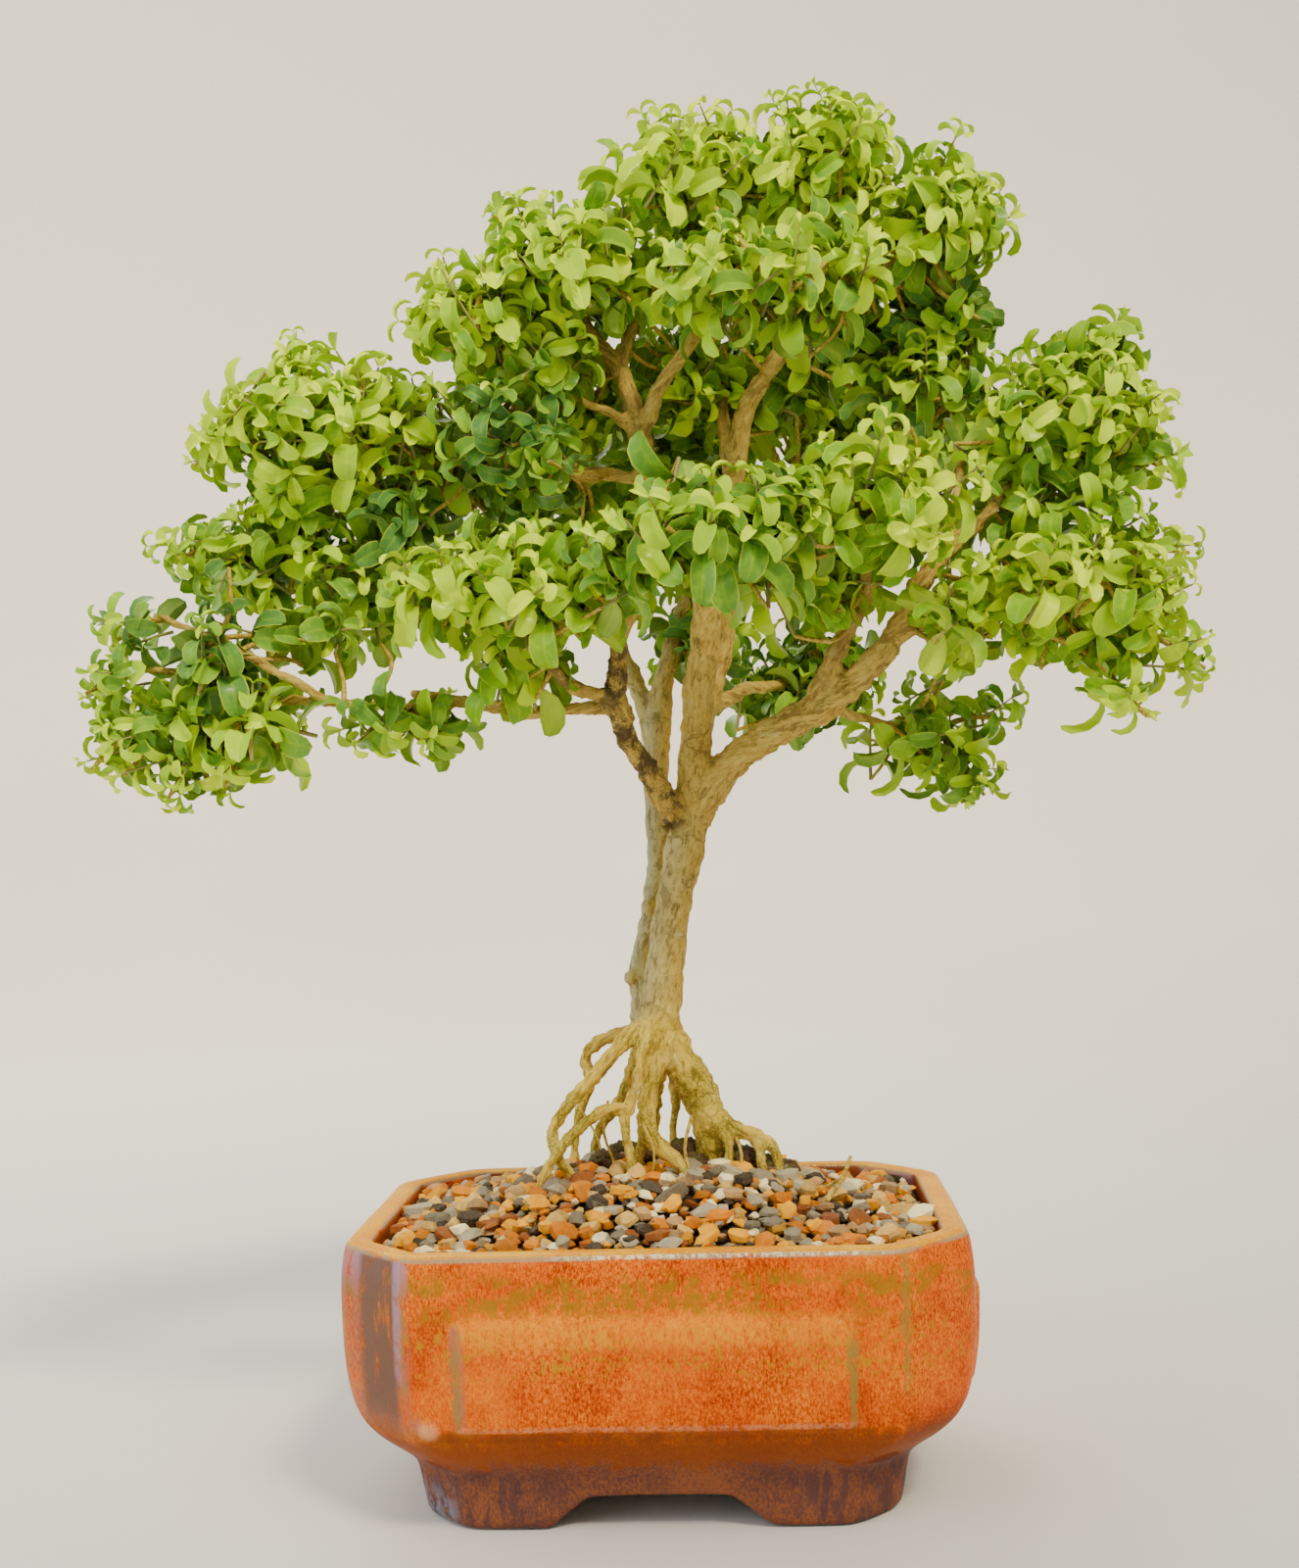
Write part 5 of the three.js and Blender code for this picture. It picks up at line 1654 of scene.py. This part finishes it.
def model_leaf(name, width, curl, fold, columns=4, rings=7):
    bpy.ops.mesh.primitive_uv_sphere_add(
        segments=columns, ring_count=rings, radius=1, rotation=(0, math.pi / 2, 0)
    )
    leaf = bpy.context.object
    leaf.name = name
    settle()
    rows, sides, tones = ball_rows(leaf, rings)
    stations = blade_stations[rings]
    widths = blade_widths[rings]
    editing(leaf)
    bpy.ops.mesh.select_mode(type="VERT")
    for ring, numbers in rows.items():
        choose_numbers(leaf, numbers)
        start = -math.cos(ring * math.pi / rings)
        radius = max(math.sin(ring * math.pi / rings), 0.01)
        across = widths[ring] * width / 2 / radius
        flat = leaf_thickness / 2 * (0.5 + 0.5 * widths[ring]) / radius
        bpy.ops.transform.resize(value=(1, across, flat), center_override=(start, 0, 0))
        bpy.ops.transform.translate(value=(stations[ring] * leaf_length - start, 0, 0))
        lift = fold * widths[ring]
        for side, height in (("edge", lift), ("half", lift / 2 + bulge), ("rib", -midrib_press)):
            choose_numbers(leaf, set(sides[side]) & set(numbers))
            bpy.ops.transform.translate(value=(0, 0, height))
    turn = curl / (rings - 1)
    for ring in range(rings - 1, 0, -1):
        choose_numbers(leaf, [number for later in range(ring, rings + 1) for number in rows[later]])
        pivot = (stations[ring] * leaf_length, 0, 0)
        bpy.ops.transform.rotate(value=-turn, orient_axis="Y", center_override=pivot)
    done()
    only(leaf)
    bpy.ops.object.shade_smooth_by_angle(angle=rib_crease)
    write_tones(leaf.data, "leaf", tones)
    leaf.data.name = name
    return taken_out(leaf)


leaves = [model_leaf(f"leaf_{index}", **shape) for index, shape in enumerate(leaf_shapes)]
print("faces of the leaves:", [len(leaf.polygons) for leaf in leaves])

# %% [markdown]
# ## Shoots
# Boxwood carries its leaves in pairs, each pair set crosswise to the one below. Young leaves at the tip
# are small, upright and lime green, and those further down are full grown, spread wide and darker. So
# the leaves are first put together into a few different shoots, and these are what the tree is dressed
# with. Each leaf keeps its age as a number for the material.

# %% Shoots to copy
shoot_kinds = 10
shoot_length = 18
stem_radius = 0.52
# A stem's age, place across and side as a leaf's, and a tint over 1 that tells the material it's a stem.
stem_tone = (0.6, 0.5, 0.0, 2.0)


def grow_shoot(index):
    draw = random.Random(40 + index)
    pairs = draw.choice((4, 4, 5, 5, 6))
    lean = Vector((draw.uniform(-3, 3), draw.uniform(-3, 3), 0))
    path = []
    for step in range(5):
        share = step / 4
        place = lean * share * share + Vector((0, 0, shoot_length * share))
        path.append(Vector((*place, stem_radius * (1 - 0.45 * share))))
    stem = tubes("stem", [path])
    write_tones(stem.data, "leaf", [stem_tone] * len(stem.data.vertices))
    bpy.ops.object.shade_smooth()
    parts = [stem]
    for pair in range(pairs):
        share = (pair + 0.6) / (pairs - 0.4)
        age = 1 - share
        height = shoot_length * (0.1 + 0.9 * share)
        root = lean * (height / shoot_length) ** 2 + Vector((0, 0, height))
        spread = 0.35 + 0.75 * age ** 0.8
        size = (0.55 + 0.5 * min(1, age * 2.4)) * draw.uniform(0.85, 1.1)
        for side in (0, 1):
            turn = pair * math.pi / 2 + side * math.pi + draw.uniform(-0.35, 0.35)
            around = Matrix.Rotation(turn, 4, "Z")
            opened = Matrix.Rotation(-(math.pi / 2 - spread - draw.uniform(-0.25, 0.3)), 4, "Y")
            roll = Matrix.Rotation(draw.uniform(-0.5, 0.5), 4, "X")
            scale = Matrix.Scale(size * draw.uniform(0.88, 1.08), 4)
            kind = draw.choice(leaves if age > 0.3 else leaves[:young_shapes])
            leaf = add_copy(kind, Matrix.Translation(root) @ around @ opened @ roll @ scale)
            paint(leaf.data, "leaf", (age, None, None, draw.random()))
            parts.append(leaf)
    return taken_out(join(parts, f"shoot_{index}")), 2 * pairs


shoots_and_counts = [grow_shoot(index) for index in range(shoot_kinds)]
shoots = [mesh for mesh, count in shoots_and_counts]
print("leaves on the shoots:", [count for mesh, count in shoots_and_counts])

# %% [markdown]
# ## The pads
# The crown is made of pads, each an uneven cushion of shoots at the end of a branch. A pad is dressed
# over about the same ellipsoid as its solid: shoots are spread evenly round it by the golden angle, lean
# out and up to the light, and leave the underside nearly bare. Each hangs on a twig from one of a few
# forks inside the pad, so that wood shows through the leaves. A shoot that would leave the tree's own
# box is moved back into it.

# %% The pads
# Each pad's middle, its reach along x, y and z, its leaves' finish, and how full it is.
pads = {
    "crown_left": ((18, 4, 346), (25, 26, 18), "lime_leaf", 1),
    "crown_top": ((54, -4, 345), (22, 24, 18), "lime_leaf", 1),
    "crown_right": ((83, 3, 329), (22, 24, 18), "fresh_leaf", 1),
    "crown_front": ((40, -34, 308), (33, 21, 16), "fresh_leaf", 1),
    "crown_back": ((42, 41, 338), (36, 22, 21), "fresh_leaf", 1),
    "crown_side": ((84, 16, 291), (22, 22, 17), "old_leaf", 1),
    "shoulder_left": ((-17, -6, 319), (25, 27, 19), "fresh_leaf", 1),
    "shoulder_low": ((-44, -8, 308), (22, 25, 17), "lime_leaf", 1),
    "left_high": ((-87, 6, 286), (34, 28, 19), "lime_leaf", 1),
    "left_inner": ((-50, 22, 276), (21, 21, 15), "old_leaf", 1),
    "left_mid": ((-102, 20, 249), (34, 28, 19), "fresh_leaf", 1),
    "left_outer": ((-114, -14, 223), (16, 19, 10), "old_leaf", 0.7),
    "left_low": ((-115, -6, 205), (28, 24, 13), "fresh_leaf", 0.8),
    "left_spur": ((-58, -14, 203), (12, 8, 8), "fresh_leaf", 0.45),
    "front_left": ((-31, -47, 230), (32, 25, 17), "lime_leaf", 1),
    "front_centre": ((16, -60, 239), (27, 22, 17), "fresh_leaf", 1),
    "front_right": ((60, -48, 248), (28, 24, 19), "lime_leaf", 1),
    "right_high": ((114, -4, 270), (28, 28, 24), "fresh_leaf", 1),
    "right_low": ((111, -26, 229), (29, 26, 15), "lime_leaf", 1),
    "right_twig": ((74, 14, 196), (21, 15, 9), "fresh_leaf", 0.4),
    "back_centre": ((8, 70, 285), (35, 24, 23), "fresh_leaf", 1),
    "back_left": ((-38, 66, 256), (32, 24, 20), "old_leaf", 1),
    "back_right": ((68, 62, 289), (30, 25, 21), "fresh_leaf", 1),
    "back_low": ((46, 64, 214), (26, 22, 16), "old_leaf", 1),
}
print(len(pads), "pads, the widest", max(2 * max(pad[1]) for pad in pads.values()), "mm across")

# %% [markdown]
# A pad could be filled by scattering leaves on a surface, but a surface has no twigs. So every shoot is
# aimed here, pushed out by a little noise so that the cushion is lumpy, and given its own twig.

# %% Dress one pad
trunk_line = Vector((12, 5, 0))
golden_angle = math.pi * (3 - math.sqrt(5))
shoot_spacing = 14.6
lowest_direction = -0.8
tip_inset = 4.5
pad_unevenness = 0.24
pad_twig_radii = (1.15, 0.85)
twig_radius = 0.8
twig_step = 4


def ellipsoid_area(a, b, c):
    return 4 * math.pi * (((a * b) ** 1.6 + (a * c) ** 1.6 + (b * c) ** 1.6) / 3) ** 0.625


def shoots_on(reach, fullness):
    """How many shoots cover a pad."""
    return round(ellipsoid_area(*reach) / shoot_spacing ** 2 * fullness)


def inside_room(mesh):
    """How far a mesh has to move to lie inside the tree's box."""
    shift = Vector((0, 0, 0))
    corners = [vertex.co for vertex in mesh.vertices]
    for axis in range(3):
        values = [corner[axis] for corner in corners]
        too_low = max(0, room_low[axis] + 0.5 - min(values))
        too_high = max(0, max(values) - room_high[axis] + 0.5)
        shift[axis] = too_low - too_high
    return shift


def add_age_and_shade(mesh, age_and_shade):
    """Adds to the age of every leaf in a mesh: partly their real age, partly painted shade that darkens
    shaded shoots.
    """
    values = mesh.attributes["leaf"].data
    tones = [0.0] * (4 * len(values))
    values.foreach_get("color", tones)
    tones[::4] = [age + age_and_shade for age in tones[::4]]
    values.foreach_set("color", tones)


def shoot_at(tip, axis, size, age_and_shade, draw):
    """A copied shoot that ends at a place, with the place where it starts."""
    root = tip - axis * shoot_length * size
    turned = axis.to_track_quat("Z", "Y").to_matrix().to_4x4()
    spin = Matrix.Rotation(draw.uniform(0, math.tau), 4, "Z")
    place = Matrix.Translation(root) @ turned @ spin @ Matrix.Scale(size, 4)
    shoot = add_copy(draw.choice(shoots), place)
    shift = inside_room(shoot.data)
    shoot.data.transform(Matrix.Translation(shift))
    add_age_and_shade(shoot.data, age_and_shade)
    return shoot, root + shift


def any_way(draw, reach, rise_by=0.0):
    """A small step in any way, with a lift."""
    x, y, z = (draw.uniform(-reach, reach) for axis in range(3))
    return Vector((x, y, z + rise_by))


def forks_of(middle, reach, draw):
    """A few places inside a pad where its twigs divide."""
    forks = []
    for index in range(5):
        turn = index * math.tau / 5 + draw.uniform(-0.5, 0.5)
        out = draw.uniform(0.28, 0.5)
        offset = Vector((math.cos(turn) * out, math.sin(turn) * out, draw.uniform(-0.4, 0.15)))
        forks.append(middle + Vector(reach) * offset)
    return forks


def twig_between(start, end, start_radius, end_radius, sag, draw):
    """A thin curved row from one place to another."""
    reach = (end - start).length * 0.12
    middle = (start + end) / 2 + any_way(draw, reach) - Vector((0, 0, sag))
    rows = [(*start, start_radius), (*middle, (start_radius + end_radius) / 2), (*end, end_radius)]
    return finer(rows, twig_step)


def dress_pad(middle, reach, fullness, draw, twigs):
    middle = Vector(middle)
    reach = Vector(reach)
    forks = forks_of(middle, reach, draw)
    heart = middle - Vector((0, 0, reach.z * 0.3))
    away = ((middle - trunk_line) * Vector((1, 1, 0))).normalized()
    for fork in forks:
        twigs.append(twig_between(heart, fork, *pad_twig_radii, 0.5, draw))
    count = shoots_on(reach, fullness)
    placed = []
    for index in range(count):
        height = 1 + (lowest_direction - 1) * (index + 0.5) / count
        around = math.sqrt(max(0, 1 - height * height))
        turn = index * golden_angle + draw.uniform(-0.3, 0.3)
        direction = Vector((around * math.cos(turn), around * math.sin(turn), height))
        outward = Vector((direction.x / reach.x, direction.y / reach.y, direction.z / reach.z)).normalized()
        lift = 0.6 + 0.8 * min(0, height)
        axis = (0.5 * outward + 0.3 * away + any_way(draw, 0.42, lift)).normalized()
        lump = 1 + pad_unevenness * noise.noise(direction * 1.5 + middle * 0.07)
        depth = tip_inset + draw.choice((0, 0, 0, 2, 4, 8, 12))
        tip = middle + (reach - Vector((depth,) * 3)) * direction * lump
        # Shoots under and deep inside the pad get darker leaves: partly older ones, partly painted shade.
        age_and_shade = 0.35 * max(0, -height) + 0.02 * depth - 0.16
        shoot, root = shoot_at(tip, axis, draw.uniform(0.8, 1.15), age_and_shade, draw)
        placed.append(shoot)
        fork = min(forks, key=lambda place: (place - root).length)
        twigs.append(twig_between(fork, root, twig_radius, stem_radius, 0.8, draw))
    return placed


shoot_counts = [shoots_on(reach, fullness) for middle, reach, leaf, fullness in pads.values()]
print("shoots on the pads:", shoot_counts)

# %% [markdown]
# ## The leaves' finish
# A boxwood leaf is waxy and lime green when young, deep green when old, with a pale midrib and margin and a
# dull pale underside. Every leaf could have its own material, but three are enough, because each leaf's age
# and tint are kept in its vertices and move the colour along a ramp. The age is partly painted shade, which
# darkens shoots under and deep inside a pad, and painted shade also darkens the leaves lower in the crown.
# A thin coat gives the wax its soft shine.

# %% The leaves' finish
margin_green = (0.62, 0.7, 0.06)
stem_brown = (0.34, 0.3, 0.1)


def leaf_mixer(tree, young, grown, old, under):
    """A leaf's colour from its age and its own tint, with a pale midrib, margin and underside, and painted
    shade lower in the crown.
    """
    place = place_in_mm(tree)
    own = node(tree, "ShaderNodeAttribute", {"attribute_name": "leaf"}, {})
    split = node(tree, "ShaderNodeSeparateColor", {}, {0: own.node.outputs["Color"]}).node
    age, across, below = split.outputs
    tint = own.node.outputs["Alpha"]
    area = cloud(tree, place, 0.028, 2.0)
    height = axes_of(tree, place)[2]
    # Painted shade: leaves lower in the crown are darker.
    lower = minus(tree, both(tree, rise(tree, height, 330.0, 200.0), 0.3), 0.12)
    mix = plus(tree, age, both(tree, minus(tree, area, 0.5), 1.2))
    mix = plus(tree, mix, lower)
    mix = plus(tree, mix, both(tree, minus(tree, tint, 0.5), 0.95))
    colour = colours(tree, mix, [(0.1, young), (0.42, grown), (0.82, old)])
    blotch = cloud(tree, place, 0.45, 3.0)
    colour = tinted(tree, colour, grown, 0.3, rise(tree, blotch, 0.45, 0.7))
    rib = rise(tree, across, 0.22, 0.0)
    colour = tinted(tree, colour, young, 0.16, rib)
    margin = rise(tree, across, 0.84, 1.0)
    colour = tinted(tree, colour, margin_green, 0.6, margin)
    colour = tinted(tree, colour, under, 0.6, below)
    twig = rise(tree, tint, 1.4, 1.6)
    return laid_over(tree, twig, colour, stem_brown), blotch, below


def leaf_material(name, young, grown, old, under):
    material, tree, shader = new_material(name)
    colour, blotch, below = leaf_mixer(tree, young, grown, old, under)
    roughness = plus(tree, both(tree, blotch, 0.2), both(tree, below, 0.2))
    roughness = plus(tree, roughness, 0.26)
    wire(tree, shader, colour, roughness, bumps(tree, blotch, 0.15))
    gloss(shader, 0.05, coat=0.25, coat_ior=1.4, coat_roughness=0.18)
    return material


# For each finish: the colours of a young, a grown and an old leaf, and of the underside.
leaf_tones = {
    "lime_leaf": ((0.73, 0.93, 0.0), (0.53, 0.77, 0.0), (0.2, 0.42, 0.01), (0.57, 0.69, 0.04)),
    "fresh_leaf": ((0.67, 0.89, 0.0), (0.43, 0.68, 0.005), (0.14, 0.32, 0.03), (0.48, 0.62, 0.08)),
    "old_leaf": ((0.56, 0.79, 0.003), (0.28, 0.53, 0.02), (0.09, 0.235, 0.045), (0.35, 0.5, 0.11)),
}
leaf_finishes = {name: leaf_material(name, *tones) for name, tones in leaf_tones.items()}
print(len(leaf_finishes), "finishes of leaf")

# %% [markdown]
# Between the pads the real tree isn't bare: looser shoots grow from the boughs there, mostly on the shaded
# side, and single sprigs reach out past the outline. Both are listed one by one. A thicket is a loose
# handful of shoots, each with a twig from the nearest bough. A sprig is one twig with a shoot at its end
# and two smaller ones at its sides.

# %% Thickets and sprigs
# For each pad: the middle, the reach and the number of shoots of its thickets.
thickets = {
    "crown_back": [
        ((26, 26, 300), (30, 14, 14), 20), ((6, 20, 296), (20, 10, 14), 13),
        ((34, 30, 292), (18, 10, 14), 11),
    ],
    "crown_side": [((66, 20, 305), (24, 16, 12), 15), ((88, 12, 307), (9, 12, 11), 7)],
    "crown_left": [((16, 4, 325), (22, 18, 8), 9)],
    "crown_top": [((42, 0, 344), (9, 12, 9), 8)],
    "shoulder_left": [
        ((-18, 18, 290), (22, 16, 15), 14), ((-24, 2, 302), (16, 12, 8), 7),
        ((-26, -10, 294), (16, 10, 9), 8),
    ],
    "left_inner": [
        ((-36, 16, 270), (20, 16, 12), 11), ((-66, 8, 256), (12, 14, 15), 12),
        ((-34, -12, 276), (22, 10, 13), 12),
    ],
    "left_high": [((-94, 10, 268), (28, 18, 9), 14)],
    "left_mid": [((-76, 16, 236), (18, 18, 10), 7), ((-92, 0, 227), (16, 14, 7), 5)],
    "right_high": [((116, 0, 290), (18, 16, 8), 9), ((108, -12, 248), (26, 14, 7), 11)],
    "right_low": [
        ((110, -20, 216), (24, 16, 5), 5), ((84, -14, 216), (10, 10, 6), 3),
        ((81, -32, 222), (9, 6, 6), 5),
    ],
    "front_right": [((46, -32, 230), (14, 14, 10), 8)],
    "front_left": [((-32, -28, 215), (18, 12, 6), 6)],
    "back_low": [((14, 42, 224), (18, 14, 14), 9)],
    "front_centre": [((-6, -52, 233), (14, 14, 9), 8), ((38, -54, 244), (12, 14, 8), 8)],
    "back_centre": [((-8, 44, 268), (24, 16, 14), 11), ((12, 34, 262), (16, 10, 12), 8)],
    "back_right": [((52, 42, 268), (24, 14, 14), 11)],
}
# For each pad: where its sprigs start and end.
sprigs = {
    "right_low": [
        ((112, -24, 216), (143, -20, 205)), ((100, -25, 216), (127, -25, 193)),
        ((106, -27, 220), (133, -32, 217)), ((116, -16, 230), (143, -8, 236)),
    ],
    "right_twig": [
        ((76, 12, 192), (99, 14, 195)), ((68, 9, 194), (91, 14, 175)), ((74, 12, 190), (85, 13, 173)),
        ((60, 4, 196), (76, 6, 184)),
    ],
    "left_low": [
        ((-118, -10, 206), (-147, -11, 189)), ((-114, -10, 204), (-138, -12, 187)),
        ((-106, -8, 206), (-126, -12, 181)), ((-98, -8, 203), (-111, -12, 183)),
        ((-122, -12, 214), (-147, -14, 209)),
    ],
    "left_spur": [((-60, -18, 202), (-72, -27, 193)), ((-48, -18, 203), (-57, -24, 193))],
    "left_high": [((-86, 8, 284), (-95, 6, 303)), ((-98, 8, 278), (-123, 9, 273))],
    "left_mid": [((-104, 10, 248), (-124, -6, 245))],
    "left_outer": [((-124, -14, 228), (-140, -12, 222))],
    "shoulder_left": [((-18, -4, 316), (-37, -2, 335))],
    "crown_left": [((14, 4, 338), (10, 0, 357)), ((20, 4, 340), (28, -6, 358))],
    "crown_top": [((54, -2, 342), (57, -4, 361)), ((46, 0, 342), (43, -2, 360))],
    "crown_right": [((80, 2, 324), (96, 0, 334)), ((80, 2, 330), (84, 3, 346))],
    "right_high": [
        ((112, -6, 270), (128, 0, 298)), ((114, -6, 268), (138, -6, 272)),
        ((116, -4, 264), (141, -5, 257)),
    ],
    "front_left": [((-26, -44, 232), (-52, -50, 224))],
    "front_right": [((58, -46, 244), (72, -62, 232))],
}
lowest_bough = 185
thickest_bough = 3.5


def bough_lookup():
    """Finds the nearest thin bough to a place."""
    places = [point for points in limbs.values() for point in points]
    boughs = [point.xyz for point in places if point.z > lowest_bough and point.w < thickest_bough]
    tree = kdtree.KDTree(len(boughs))
    for number, place in enumerate(boughs):
        tree.insert(place, number)
    tree.balance()
    return tree


def grow_thicket(middle, reach, count, boughs, draw, twigs):
    placed = []
    for index in range(count):
        around = any_way(draw, 1)
        around = around.normalized() * around.length ** 0.5 if around.length > 1 else around
        tip = Vector(middle) + Vector(reach) * around
        axis = (around + any_way(draw, 0.5, 0.45)).normalized()
        shoot, root = shoot_at(tip, axis, draw.uniform(0.8, 1.1), draw.uniform(0.0, 0.35), draw)
        placed.append(shoot)
        bough = boughs.find(root + any_way(draw, 9))[0]
        twigs.append(twig_between(bough, root, twig_radius, stem_radius, 0.6, draw))
    return placed


def grow_sprig(start, end, draw, twigs):
    start, end = Vector(start), Vector(end)
    along = (end - start).normalized()
    lift = Vector((0, 0, (end - start).length * 0.12))
    row = finer([(*start, 1.0), (*((start + end) / 2 + lift), 0.75), (*end, stem_radius)], twig_step)
    twigs.append(row)
    tip_shoot, root = shoot_at(end, (along + any_way(draw, 0.2, 0.1)).normalized(), 0.95, -0.2, draw)
    placed = [tip_shoot]
    for share, side in ((0.72, 1), (0.5, -1)):
        place = row[int(share * (len(row) - 1))].xyz
        sideways = along.cross(Vector((0, 0, 1))) * side
        axis = (0.6 * along + 0.7 * sideways + any_way(draw, 0.3, 0.15)).normalized()
        size = draw.uniform(0.65, 0.85)
        shoot, root = shoot_at(place + axis * shoot_length * size, axis, size, -0.05, draw)
        placed.append(shoot)
    return placed


for word, places in (("thickets", thickets), ("sprigs", sprigs)):
    print(sum(len(rows) for rows in places.values()), word)

# %% [markdown]
# ## Dressing the tree
# Now the shoots go onto the tree, pad after pad, with one stream of seeded chance for all of them, so
# that every run gives the same tree. Their twigs are gathered on the way. A few thin rootlets under and
# beside the roots are drawn as twigs too, and all of these become one piece with the bark's finish.

# %% Dress the tree
def dress_tree():
    draw = random.Random(11)
    boughs = bough_lookup()
    twigs = []
    for name, (middle, reach, leaf, fullness) in pads.items():
        placed = dress_pad(middle, reach, fullness, draw, twigs)
        for thicket in thickets.get(name, []):
            placed += grow_thicket(*thicket, boughs, draw, twigs)
        for start, end in sprigs.get(name, []):
            placed += grow_sprig(start, end, draw, twigs)
        piece = join(placed, f"leaves_{name}")
        into_frame(piece, leaf_finishes[leaf], leaf, f"foliage_{name}")
    return twigs


# Moss, dark bark, grey with painted cool light, and how surely the twig leads, as in the wood's bark tones.
twig_tone = (0.33, 0.08, 0.0, 1.0)
rootlet_step = 3
rootlets = [
    [(50.2, -10, 82.4, 0.5), (48, -14, 78, 0.6), (43.6, -20, 73, 0.45)],
    [(48, -14, 78, 0.45), (44.5, -12, 75.5, 0.35), (40, -11, 74, 0.25)],
    [(-13, -2, 97, 0.55), (-14.5, 0, 88, 0.45), (-12, 2, 79, 0.4), (-13, 3, 72, 0.35)],
    [(-4, -3, 91, 0.5), (-1, -5, 84, 0.45), (-2, -6, 76, 0.35)],
    [(9, 1, 92, 0.6), (7, -3, 84, 0.5), (9, -5, 76, 0.4)],
    [(20, 2, 88, 0.5), (22, -3, 82, 0.45), (21, -5, 74, 0.35)],
    [(-22, 17, 92, 0.5), (-17, 12, 84, 0.4), (-15, 10, 75, 0.35)],
]

twig_rows = dress_tree() + [finer(rootlet, rootlet_step) for rootlet in rootlets]
twigs = tubes("twigs", twig_rows)
write_tones(twigs.data, "bark", [twig_tone] * len(twigs.data.vertices))
keep_grain(twigs.data, [vertex.co for vertex in twigs.data.vertices])
bpy.ops.object.shade_smooth()
into_frame(twigs, bark, "bark")

# %% [markdown]
# ## The end
# The dressed tree has to stay inside the box of its solids. The box of the solids is printed.

# %% Sizes and the end
print("solids", [round(v * 1000, 1) for v in (*cad_low, *cad_high)])
